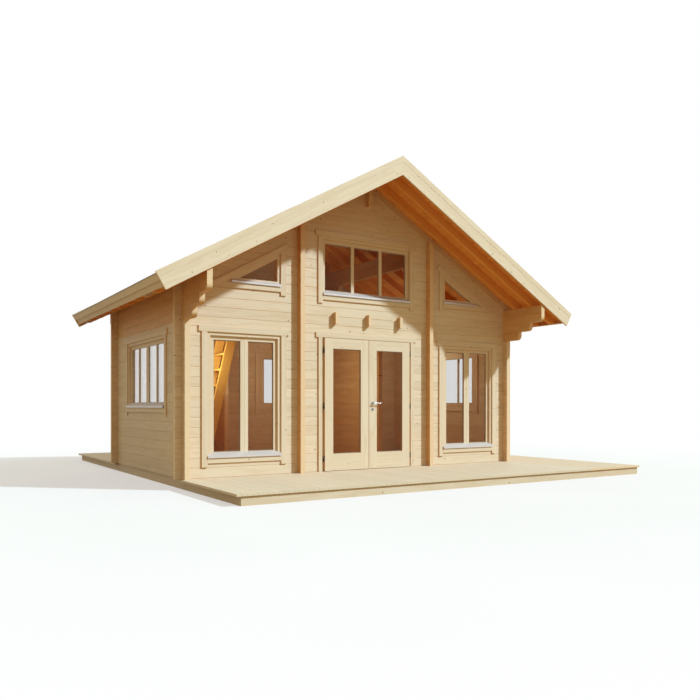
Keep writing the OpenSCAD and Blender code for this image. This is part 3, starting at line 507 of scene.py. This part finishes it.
paint_logs()
paint_carpentry()
paint_windows()
paint_doors()
paint_stair()
handle_metal = metal("handle_metal", linear(168, 166, 162), 0.28, 1.0, (30, 30, 30))
paint(["door_handle"], handle_metal)
paint(["window_sills"], metal("sill_metal", linear(220, 213, 208), 0.40, 0.25, (10, 10, 200)))
paint(["window_glass", "left_door_glass", "right_door_glass"],
      glass("clear_glass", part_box("left_side_window")[1][0]))


# ---- Making pieces ----

def finish_piece(name, bm, material, body="house", replaces=(), smooth=False):
    mesh = bpy.data.meshes.new(name)
    bmesh.ops.recalc_face_normals(bm, faces=bm.faces)
    bm.to_mesh(mesh)
    bm.free()
    mesh.materials.append(material)
    for face in mesh.polygons:
        face.use_smooth = smooth
    made = bpy.data.objects.new(name, mesh)
    bpy.context.collection.objects.link(made)
    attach(made, body)
    if replaces:
        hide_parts(*replaces)


def prism(bm, outline, start, end, right, up):
    """A closed prism of an outline in (right, up) from start to end."""
    rings = []
    for base in (Vector(start), Vector(end)):
        rings.append([bm.verts.new(base + right * a + up * b) for a, b in outline])
    count = len(outline)
    for k in range(count):
        bm.faces.new((rings[0][k], rings[0][(k + 1) % count], rings[1][(k + 1) % count], rings[1][k]))
    bm.faces.new(rings[0])
    bm.faces.new(rings[1][::-1])


def box_outline(x0, y0, x1, y1):
    return [(x0, y0), (x1, y0), (x1, y1), (x0, y1)]


def board_outline(width, thick, ease):
    """A board's section from its lower left corner, its upper edges eased."""
    return [(0, 0), (width, 0), (width, thick - ease), (width - ease, thick), (ease, thick),
            (0, thick - ease)]


def eased(width, thick, e):
    """A section with all four corners eased."""
    return [(e, 0), (width - e, 0), (width, e), (width, thick - e), (width - e, thick), (e, thick),
            (0, thick - e), (0, e)]


def disc_outline(radius, count=40):
    return [(radius * math.cos(2 * math.pi * k / count), radius * math.sin(2 * math.pi * k / count))
            for k in range(count)]


# ---- Decks and floors ----

GAP, BOARD_EASE = mm(2), mm(1.5)
DECK_BOARDS, SIDE_BOARDS, FLOOR_BOARDS = 91, 18, 46
LOFT_BOARDS, LOFT_GAP = 27, mm(1)
# length of the inner walls' ends inside the house
STUB_L = mm(530)


def board_pitch(name, count):
    low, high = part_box(name)
    return (high[0] - low[0]) / count


def boards_along_y(name, count, material):
    low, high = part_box(name)
    pitch = board_pitch(name, count)
    bm = bmesh.new()
    for k in range(count):
        outline = board_outline(pitch - GAP, high[2] - low[2], BOARD_EASE)
        start = (low[0] + k * pitch + GAP / 2, low[1], low[2])
        prism(bm, outline, start, (start[0], high[1], low[2]), X, Z)
    finish_piece(name + "_boards", bm, material, replaces=[name])


def floor_timber(name, node_name, count, **looks):
    return timber(name, Y, X, board_pitch(node_name, count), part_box(node_name)[0][0], **looks)


def lay_decks_and_floor():
    # painted shade: the deck throws a dimmer, warmer light than its own colour on the walls beside it
    deck_wood = floor_timber("deck_timber", "front_deck", DECK_BOARDS, tone=BRIGHT, thrown=PAINTED_SHADE_TINT_BY_DECK)
    boards_along_y("front_deck", DECK_BOARDS, deck_wood)
    boards_along_y("rear_deck", DECK_BOARDS, deck_wood)
    side_wood = floor_timber("side_deck_timber", "side_deck", SIDE_BOARDS)
    boards_along_y("side_deck", SIDE_BOARDS, side_wood)
    floor_wood = floor_timber("floor_timber", "house_floor", FLOOR_BOARDS, tone=WARM)
    boards_along_y("house_floor", FLOOR_BOARDS, floor_wood)


def lay_loft_floor():
    """Boards across the loft, short ones between the inner walls' ends and long ones over the walls."""
    low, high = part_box("loft_floor")
    stub_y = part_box("front_gable")[1][1] + STUB_L
    pitch = (high[1] - low[1]) / LOFT_BOARDS
    outline = eased(pitch - LOFT_GAP, high[2] - low[2], mm(2))
    bm = bmesh.new()
    for k in range(LOFT_BOARDS):
        y = low[1] + k * pitch
        over_walls = stub_y < y + pitch / 2 < -stub_y
        end_x = high[0] if over_walls else high[0] - WALL_T - LOFT_GAP
        prism(bm, outline, (-end_x, y, low[2]), (end_x, y, low[2]), Y, Z)
    finish_piece("loft_floor_boards", bm, timber("loft_board_timber", X, Y, pitch, low[1], tone=WARM),
                 replaces=["loft_floor"])


# ---- Roof covering ----

LINING_T, LINING_W, LINING_GAP, LINING_EASE = mm(20), mm(96), mm(0.8), mm(2.5)
ROW, TAB, TAB_GAP, FELT_T = mm(145), mm(200), mm(5), mm(4)
# a row of shingles as seen from above, for its shade
SHADE_ROW = mm(126)
# how far a shingle runs under the next row and past the eave, and stays back from bargeboards and ridge
LAP, DRIP, BACK, RIDGE_BACK = mm(30), mm(48), mm(2), mm(4)
# the narrowest shingle or cap, how uneven the lower edges are, and how much thicker
LEAST_TAB, UNEVEN, THICKER = mm(20), mm(2), mm(1)
CAP, CAP_LAP, CAP_W, CAP_RISE, CAP_LIFT = mm(200), mm(25), mm(125), mm(4), mm(5)


def slope_point(side, s, height, y):
    """The point s down the slope from the ridge, height over the rafters' undersides."""
    p = Vector((0, y, APEX_Z)) + DOWN * s + OUT * height
    return Vector((side * p.x, p.y, p.z))


def slope_axes(side):
    return Vector((side * DOWN.x, 0, DOWN.z)), Vector((side * OUT.x, 0, OUT.z))


def slope_prism(bm, side, outline, y0, y1, s=0.0, height=0.0):
    """A prism of an outline in (down the slope, out of it) from s and height, from y0 to y1."""
    start = slope_point(side, s, height, y0)
    prism(bm, outline, start, start + Y * (y1 - y0), *slope_axes(side))


def line_roof(side, label, wood):
    """Boards on the rafters, the top one cut plumb at the ridge."""
    bm = bmesh.new()
    for k in range(-1, math.ceil(RAFTER_END / LINING_W)):
        s0 = max(k * LINING_W, -RAFTER_H * TAN)
        width = min((k + 1) * LINING_W, RAFTER_END) - s0 - LINING_GAP
        outline = eased(width, LINING_T, LINING_EASE)
        if k == -1:
            outline = [(0, 0), (width, 0), (width, LINING_T), (-LINING_T * TAN, LINING_T)]
        slope_prism(bm, side, outline, ROOF_Y0, ROOF_Y1, s0, RAFTER_H)
    finish_piece(label + "_roof_lining", bm, wood)


def insulate_roof(side, label, material):
    bm = bmesh.new()
    low, high = RAFTER_H + LINING_T, ROOF_TOP - FELT_T
    slope_prism(bm, side, [(-low * TAN, low), (RAFTER_END, low), (RAFTER_END, high), (-high * TAN, high)],
                ROOF_Y0, ROOF_Y1)
    finish_piece(label + "_roof_core", bm, material)


def shingle_roof(side, label, material):
    """Rows of shingles from the eave up, each half a shingle out of step with the next."""
    bm = bmesh.new()
    rng = random.Random(7 + side)
    eave, ridge = RAFTER_END + DRIP, -ROOF_TOP * TAN
    row = 0
    while eave - row * ROW > ridge:
        s1 = eave - row * ROW
        s0 = max(s1 - ROW - LAP, ridge + RIDGE_BACK)
        y = ROOF_Y0 + BACK - (row % 2) * TAB / 2
        while y < ROOF_Y1 - BACK:
            y0 = max(y, ROOF_Y0 + BACK)
            y1 = min(y + TAB - TAB_GAP, ROOF_Y1 - BACK)
            if y1 - y0 > LEAST_TAB:
                length = s1 - rng.uniform(0, UNEVEN) - s0
                outline = [(0, 0), (length, FELT_T), (length, 2 * FELT_T + THICKER), (0, FELT_T)]
                slope_prism(bm, side, outline, y0, y1, s0, ROOF_TOP - FELT_T)
            y += TAB
        row += 1
    finish_piece(label + "_roof_shingles", bm, material, replaces=[label + "_roof"])


def cap_ridge(material):
    """Caps over the ridge, each with its rear end on the next."""
    bm = bmesh.new()
    lift = ROOF_TOP + CAP_LIFT
    outline = [(-lift * TAN, 0), (CAP_W, 0), (CAP_W, FELT_T), (-(lift + FELT_T) * TAN, FELT_T)]
    y = ROOF_Y0 + BACK
    while y < ROOF_Y1 - LEAST_TAB:
        y1 = min(y + CAP + CAP_LAP, ROOF_Y1 - BACK)
        for side in (-1, 1):
            down, out = slope_axes(side)
            end = slope_point(side, 0, lift + CAP_RISE, y1)
            prism(bm, outline, end - Y * (y1 - y) - out * CAP_RISE, end, down, out)
        y += CAP
    finish_piece("ridge_caps", bm, material)


def cover_roof():
    # painted shade: the lining takes the deep orange tone of the eaves' shade
    lining = timber("lining_timber", Y, DOWN, LINING_W, -APEX_Z * SIN, tone=AMBER_PAINTED_SHADE, mirrored=True)
    shingles = felt("roof_felt")
    core = foam("roof_insulation")
    for side, label in ((-1, "left"), (1, "right")):
        line_roof(side, label, lining)
        insulate_roof(side, label, core)
        shingle_roof(side, label, shingles)
    cap_ridge(shingles)


lay_decks_and_floor()
lay_loft_floor()
cover_roof()


# ---- Cover boards ----

TRIM_W, TRIM_T, TRIM_EASE = mm(80), mm(20), mm(2)
# how far the boards lie over an opening's edge, and over the sides of the loft window
TRIM_LAP, LOFT_LAP = mm(20), mm(65)
# what a head board runs past the side boards, and what they run past the board under the sill
EAR, EAR_DOWN = mm(40), mm(50)
# the lower edge of the board under the sill, from the opening's, and its width
FOOT, FOOT_W = mm(-75), mm(70)
# the gap between two cover boards
JOINT = mm(0.6)
DOOR_SIDE, DOOR_TRIM, DOOR_HEAD, HEAD_W = mm(790), mm(60), mm(1960), mm(76)
# the battens along the gables begin at this height over the rafters' undersides
BATTEN_LOW = mm(16)
covers = {key: bmesh.new() for key in ("x", "y", "z", "z_side", "slope")}


def strip(bm, start, along, length, across, width, outward):
    prism(bm, board_outline(width, TRIM_T, TRIM_EASE), start, start + along * length, across, outward)


def both_faces(name, outward):
    """The middles of a window's two faces at its lower edge, each with the way that it looks."""
    low, high = (Vector(corner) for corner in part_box(name))
    centre = (low + high) / 2
    centre.z = low.z
    return [(centre + outward * WALL_T / 2, outward), (centre - outward * WALL_T / 2, -outward)]


def cover_window(name, right, outward, lap=TRIM_LAP):
    low, high = (Vector(corner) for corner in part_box(name))
    side_x = abs((high - low).dot(right)) / 2 - lap
    height = high.z - low.z
    level, upright = ("x", "z") if right == X else ("y", "z_side")
    for face, look in both_faces(name, outward):
        for x in (-side_x - TRIM_W, side_x):
            strip(covers[upright], face + right * x + Z * (FOOT - EAR_DOWN), Z,
                  height - TRIM_LAP - FOOT + EAR_DOWN - JOINT, right, TRIM_W, look)
        reach = side_x + TRIM_W + EAR
        head = face - right * reach + Z * (height - TRIM_LAP)
        strip(covers[level], head, right, 2 * reach, Z, TRIM_W, look)
        foot = face - right * (side_x - JOINT) + Z * FOOT
        strip(covers[level], foot, right, 2 * (side_x - JOINT), Z, FOOT_W, look)


def on_line(off, z=None, t=None, x=None):
    """A point of the line that lies off inside a gable window's slope, at height z, at t along it or at x."""
    up, base = Vector((-COS, SIN)), Vector((-SIN, -COS)) * off
    if t is None:
        t = (z - base.y) / up.y if z is not None else (x - base.x) / up.x
    return base + up * t


def cover_gable_windows():
    low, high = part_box("gable_windows")
    width = (high[2] - low[2]) / TAN
    edge, line = TRIM_LAP - TRIM_W, TRIM_LAP + JOINT
    reach = (width - edge + EAR) / COS
    inner_x = TRIM_LAP - width
    outer_x, foot_x = inner_x - TRIM_W, inner_x + JOINT
    outlines = {
        "slope": [on_line(edge, z=FOOT), on_line(TRIM_LAP, z=FOOT), on_line(TRIM_LAP, t=reach),
                  on_line(edge, t=reach)],
        "z": [Vector((outer_x, FOOT - EAR_DOWN)), Vector((inner_x, FOOT - EAR_DOWN)),
              on_line(line, x=inner_x), on_line(line, x=outer_x)],
        "x": [Vector((foot_x, FOOT)), on_line(line, z=FOOT), on_line(line, z=FOOT + FOOT_W),
              Vector((foot_x, FOOT + FOOT_W))],
    }
    for side in (-1, 1):
        for y, look in ((FRONT_Y, -Y), (FRONT_Y + WALL_T, Y)):
            tip = Vector((side * high[0], y, low[2]))
            for key, outline in outlines.items():
                prism(covers[key], outline, tip, tip + look * TRIM_T, X * side, Z)


def cover_doorway():
    for y, look in ((FRONT_Y, -Y), (FRONT_Y + WALL_T, Y)):
        for x in (-DOOR_SIDE - DOOR_TRIM, DOOR_SIDE):
            strip(covers["z"], Vector((x, y, DECK_Z)), Z, DOOR_HEAD - JOINT, X, DOOR_TRIM, look)
        reach = DOOR_SIDE + DOOR_TRIM + EAR
        strip(covers["x"], Vector((-reach, y, DECK_Z + DOOR_HEAD)), X, 2 * reach, Z, HEAD_W, look)


def batten_gables():
    outline = [(-BATTEN_LOW * TAN, BATTEN_LOW), (RAFTER_END, BATTEN_LOW), (RAFTER_END, RAFTER_H),
               (-RAFTER_H * TAN, RAFTER_H)]
    for side in (-1, 1):
        for y in (FRONT_Y - TRIM_T, -FRONT_Y):
            slope_prism(covers["slope"], side, outline, y, y + TRIM_T)


def cover_timber(key, along, across, board, start, seed, mirrored=False):
    return timber("cover_timber_" + key, along, across, board, start, mirrored=mirrored, seed=seed,
                  knots=0.2, spread=0.6)


def finish_covers():
    woods = {
        "x": cover_timber("x", X, Z, 0.3, 0.02, 51),
        "y": cover_timber("y", Y, Z, 0.3, 0.02, 57),
        "z": cover_timber("z", Z, X, 0.4, 0.2, 61),
        "z_side": cover_timber("z_side", Z, Y, 0.4, 0.2, 67),
        "slope": cover_timber("slope", DOWN, OUT, 0.9, 0.1, 71, mirrored=True),
    }
    for key, bm in covers.items():
        finish_piece("cover_boards_" + key, bm, woods[key],
                     replaces=["cover_boards"] if key == "x" else ())


for name in ("front_left_window", "front_right_window"):
    cover_window(name, X, -Y)
cover_window("loft_window", X, -Y, LOFT_LAP)
cover_window("rear_window", X, Y)
cover_window("left_side_window", Y, -X)
cover_window("right_side_window", Y, X)
cover_gable_windows()
cover_doorway()
batten_gables()
finish_covers()


# ---- Glazing seals and spacers ----

# jambs as they show beside the casements, the gap round a casement, and the casements' stiles
JAMB, CASEMENT_GAP = mm(48), mm(3)
OUTER_STILE, MEETING_STILE = mm(68), mm(54)
SIDE_BAR, LOFT_BAR = mm(26), mm(50)
# depth of a window's panes behind the wall's face, and their thickness
GLASS_Y, GLASS_T = mm(44), mm(16)
SEAL_W, SEAL_T = mm(4), mm(1.5)
SPACER_W, SPACER_BACK = mm(9), mm(3)


def ring(bm, centre, right, half, z0, z1, wide, look, depth):
    """A square-edged frame of four bars just inside a pane's edge."""
    outline = box_outline(0, 0, wide, depth)
    for x in (-half, half - wide):
        prism(bm, outline, centre + right * x + Z * z0, centre + right * x + Z * z1, right, look)
    for z in (z0, z1 - wide):
        across = right * (half - wide)
        prism(bm, outline, centre - across + Z * z, centre + across + Z * z, Z, look)


def pane_edges(seals, spacers, front, right, half, z0, z1, look):
    """Seals on both faces of a pane and the spacer in it. front is the middle of its front's lower edge."""
    ring(seals, front, right, half, z0, z1, SEAL_W, look, SEAL_T)
    ring(seals, front - look * GLASS_T, right, half, z0, z1, SEAL_W, -look, SEAL_T)
    ring(spacers, front - look * SPACER_BACK, right, half, z0, z1, SPACER_W, -look,
         GLASS_T - 2 * SPACER_BACK)


def edge_window(seals, spacers, name, right, outward, casements=1, bars=0, bar=0.0):
    low, high = (Vector(corner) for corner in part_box(name))
    face, look = both_faces(name, outward)[0]
    front = face - look * GLASS_Y
    half = abs((high - low).dot(right)) / 2
    casement = (2 * (half - JAMB) - (casements + 1) * CASEMENT_GAP) / casements
    stiles = 2 * OUTER_STILE if casements == 1 else OUTER_STILE + MEETING_STILE
    light = (casement - stiles - bars * bar) / (bars + 1)
    for k in range(casements):
        casement_x = -half + JAMB + CASEMENT_GAP + k * (casement + CASEMENT_GAP)
        left_x = casement_x + (MEETING_STILE if k else OUTER_STILE)
        for j in range(bars + 1):
            centre = left_x + j * (light + bar) + light / 2
            pane_edges(seals, spacers, front + right * centre, right, light / 2, FOOT_RAIL,
                       high.z - low.z - STILE, look)


def edge_windows(rubber_material, spacer_material):
    seals, spacers = bmesh.new(), bmesh.new()
    edge_window(seals, spacers, "front_left_window", X, -Y, casements=2)
    edge_window(seals, spacers, "front_right_window", X, -Y, casements=2)
    edge_window(seals, spacers, "loft_window", X, -Y, bars=2, bar=LOFT_BAR)
    edge_window(seals, spacers, "rear_window", X, Y)
    edge_window(seals, spacers, "left_side_window", Y, -X, casements=2, bars=1, bar=SIDE_BAR)
    edge_window(seals, spacers, "right_side_window", Y, X, casements=2, bars=1, bar=SIDE_BAR)
    finish_piece("window_seals", seals, rubber_material)
    finish_piece("window_spacers", spacers, spacer_material)


def edge_door(body, rubber_material, spacer_material):
    seals, spacers = bmesh.new(), bmesh.new()
    low, high = (Vector(corner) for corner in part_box(body + "_glass"))
    front = Vector(((low.x + high.x) / 2, low.y, low.z))
    pane_edges(seals, spacers, front, X, (high.x - low.x) / 2, 0, high.z - low.z, -Y)
    finish_piece(body + "_seals", seals, rubber_material, body=body)
    finish_piece(body + "_spacers", spacers, spacer_material, body=body)


seal_rubber = rubber("seal_rubber")
spacer_metal = metal("spacer_metal", linear(176, 164, 146), 0.5, 0.5)
edge_windows(seal_rubber, spacer_metal)
for body in ("left_door", "right_door"):
    edge_door(body, seal_rubber, spacer_metal)


# ---- Hinges, roses and lever ----

# the axes of the doors, and their hinges' middles over the deck
HINGE_X, HINGE_Y = mm(769), FRONT_Y - mm(29.5)
HINGE_ZS = (mm(190), mm(960), mm(1775))
KNUCKLE_R, HINGE_HALF, PLATE_T, KNUCKLE_GAP = mm(7.9), mm(45), mm(4.6), mm(0.5)
FRAME_PLATE, LEAF_PLATE = mm(29.4), mm(12.9)
SPINDLE = Vector((mm(66), 0, DECK_Z + mm(1000)))
# the roses, and the step round their faces as depth and width
ROSE_R, ROSE_T, ROSE_STEP, ROSE_STEP_W = mm(25.4), mm(6.4), mm(1.2), mm(1.5)
# the cylinder below the spindle, its round and its straight part, and how far it stands out of its rose
KEY_DROP, KEY_R, KEY_HALF, KEY_FOOT, KEY_OUT = mm(92), mm(8.5), mm(5), mm(21), mm(0.3)
LEAF_FRONT, LEAF_BACK = FRONT_Y - mm(37), FRONT_Y + mm(8)
# the lever's radius, and how much larger its balls are than its bars
LEVER_R, BALL = mm(8), 1.01


def hinge_half(side, part, owner, base, plate, material):
    """The knuckles and plates of one half of a leaf's hinges, from base over each hinge's middle."""
    bm = bmesh.new()
    for z in HINGE_ZS:
        foot = Vector((side * HINGE_X, HINGE_Y, DECK_Z + z + base))
        head = foot + Z * (HINGE_HALF - KNUCKLE_GAP)
        prism(bm, disc_outline(KNUCKLE_R, 32), foot, head, X, Y)
        prism(bm, plate, foot, head, X * side, Y)
    finish_piece(part, bm, material, body=owner)


def hang_doors():
    material = metal("hinge_metal", linear(92, 78, 62), 0.42)
    to_frame = box_outline(-PLATE_T / 2, 0, PLATE_T / 2, FRAME_PLATE)
    to_leaf = box_outline(-LEAF_PLATE, -PLATE_T / 2, 0, PLATE_T / 2)
    for side, body in ((-1, "left_door"), (1, "right_door")):
        hinge_half(side, body + "_hinge_pin", "house", -HINGE_HALF, to_frame, material)
        hinge_half(side, body + "_hinge_leaf", body, KNUCKLE_GAP, to_leaf, material)


def fit_roses():
    """Roses for the lever and the cylinder on both faces of the right leaf, and the cylinder."""
    roses, holes = bmesh.new(), bmesh.new()
    for y, look in ((LEAF_FRONT, -Y), (LEAF_BACK, Y)):
        for drop in (0, KEY_DROP):
            base = SPINDLE + Y * y - Z * drop
            prism(roses, disc_outline(ROSE_R), base, base + look * (ROSE_T - ROSE_STEP), X, Z)
            prism(roses, disc_outline(ROSE_R - ROSE_STEP_W), base, base + look * ROSE_T, X, Z)
        key = SPINDLE + Y * y - Z * KEY_DROP
        face = key + look * (ROSE_T + KEY_OUT)
        prism(holes, disc_outline(KEY_R, 28), key, face, X, Z)
        prism(holes, box_outline(-KEY_HALF, -KEY_FOOT, KEY_HALF, 0), key, face, X, Z)
    finish_piece("door_roses", roses, metal("rose_metal", linear(178, 176, 172), 0.26), body="right_door")
    finish_piece("door_cylinder", holes, metal("keyhole_metal", linear(40, 40, 42), 0.5), body="right_door")


def round_lever():
    """Balls in the corners and at the ends of the levers."""
    low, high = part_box("door_handle")
    bm = bmesh.new()
    for y in (low[1] + LEVER_R, high[1] - LEVER_R):
        for x in (low[0] + LEVER_R, high[0]):
            ball = bmesh.ops.create_uvsphere(bm, u_segments=24, v_segments=16, radius=LEVER_R * BALL)
            bmesh.ops.translate(bm, verts=ball["verts"], vec=(x, y, SPINDLE.z))
    finish_piece("lever_ends", bm, handle_metal, body="door_handle", smooth=True)


hang_doors()
fit_roses()
round_lever()


# ---- Softened edges ----

# the width of a bevel, and the least turn of an edge that gets one
BEVEL, SHARP = mm(2), math.radians(40)


def ease_edges(name):
    bevel = node[name].modifiers.new("eased", "BEVEL")
    bevel.width = BEVEL
    bevel.segments = 1
    bevel.limit_method = "ANGLE"
    bevel.angle_limit = SHARP


for name in BARGEBOARDS + ["left_fascia", "right_fascia", "left_rafters", "right_rafters", "loft_joists",
                           "left_door", "right_door", "front_left_window", "front_right_window",
                           "loft_window", "rear_window", "gable_windows"]:
    ease_edges(name)


# ---- Floor, background, light and camera ----

# the floor turns from one that holds a shadow into pure white between these distances
SHADOW_R, WHITE_R, SHADOW_GLOW = 5.5, 12.0, 0.50
FLOOR_SIZE = 400
FILL, FILL_STRENGTH = (0.92, 0.84, 0.59, 1.0), 0.54
TOWARDS_SUN = Vector((0.62, -0.62, 0.66)).normalized()
SUN_COLOUR, SUN_STRENGTH, SUN_WIDTH = (0.70, 0.88, 1.0), 3.9, math.radians(2.5)
LAMP_COLOUR, LAMP_R = (1.0, 0.94, 0.64), 0.25
# (x, y, height over the deck, watts) of the lamps that light the rooms and the loft
ROOM_LAMPS = ((-1.9, 0.3, 1.7, 28), (0.0, 0.2, 1.6, 15), (1.9, 0.0, 1.7, 16), (0.0, 0.4, 3.5, 3))
# the place and the turn about Z of the photo's camera, solved from the house's straight edges
CAMERA_AT, CAMERA_TURN = (-5.890, -11.116, 1.087), math.radians(-34.648)


def white_for_camera(g):
    """One for rays from the camera, mirrors and glass, so that they show the background."""
    path = g.add("ShaderNodeLightPath")
    seen = g.math("MAXIMUM", path.outputs["Is Camera Ray"], path.outputs["Is Glossy Ray"])
    return g.math("MAXIMUM", seen, path.outputs["Is Transmission Ray"])


def make_world():
    world = bpy.data.worlds.new("studio")
    bpy.context.scene.world = world
    g = Graph(world)
    fill = g.add("ShaderNodeBackground", {"Color": FILL, "Strength": FILL_STRENGTH})
    white = g.add("ShaderNodeBackground", {"Color": (1, 1, 1, 1), "Strength": 1.0})
    mixed = g.add("ShaderNodeMixShader", {0: white_for_camera(g), 1: fill.outputs[0], 2: white.outputs[0]})
    g.add("ShaderNodeOutputWorld", {0: mixed.outputs[0]})


def floor_material():
    g = new_graph("studio_floor")
    place = g.coord()
    x, y, _ = g.split(place)
    haze = g.noise(place, 0.4, 1.0)
    white = g.blend(g.ramp(haze, 0.3, 0.7), linear(240, 240, 239), linear(244, 244, 243))
    # painted shade: rays other than the camera's see the floor as tan, so that the light it throws up warms
    # and deepens the shade on the house
    colour = g.blend(white_for_camera(g), linear(168, 136, 88), white)
    matt = g.add("ShaderNodeBsdfDiffuse", {"Color": colour})
    glow = g.add("ShaderNodeEmission", {"Color": (1, 1, 1, 1), "Strength": 1.0})
    fade = g.ramp(g.length(x, y), SHADOW_R, WHITE_R, SHADOW_GLOW, 1.0)
    fade = g.math("MULTIPLY", fade, white_for_camera(g))
    mixed = g.add("ShaderNodeMixShader", {0: fade, 1: matt.outputs[0], 2: glow.outputs[0]})
    g.add("ShaderNodeOutputMaterial", {0: mixed.outputs[0]})
    return g.owner


def make_floor():
    bpy.ops.mesh.primitive_plane_add(size=FLOOR_SIZE, location=(0, 0, 0))
    studio = bpy.context.object
    studio.name = "studio_floor"
    studio.data.materials.append(floor_material())


def link_new(name, data):
    made = bpy.data.objects.new(name, data)
    bpy.context.collection.objects.link(made)
    return made


def light_sun():
    sun = bpy.data.lights.new("key", "SUN")
    sun.energy = SUN_STRENGTH
    sun.color = SUN_COLOUR
    sun.angle = SUN_WIDTH
    link_new("key", sun).rotation_euler = TOWARDS_SUN.to_track_quat("Z", "Y").to_euler()


def light_rooms():
    for k, (x, y, z, power) in enumerate(ROOM_LAMPS):
        lamp = bpy.data.lights.new(f"room_{k}", "POINT")
        lamp.energy = power
        lamp.color = LAMP_COLOUR
        lamp.shadow_soft_size = LAMP_R
        made = link_new(f"room_{k}", lamp)
        made.location = (x, y, DECK_Z + z)
        made.visible_camera = False
        made.visible_glossy = False
        made.visible_transmission = False


def place_camera():
    camera = bpy.data.cameras.new("camera")
    camera.lens = 37.475
    camera.sensor_width = 36.0
    camera.shift_x = -0.0723
    camera.shift_y = 0.0807
    camera.clip_end = 500.0
    made = link_new("camera", camera)
    made.location = CAMERA_AT
    made.rotation_euler = (math.radians(90), 0, CAMERA_TURN)
    bpy.context.scene.camera = made


make_world()
make_floor()
light_sun()
light_rooms()
place_camera()
bpy.context.scene.view_settings.view_transform = "Standard"
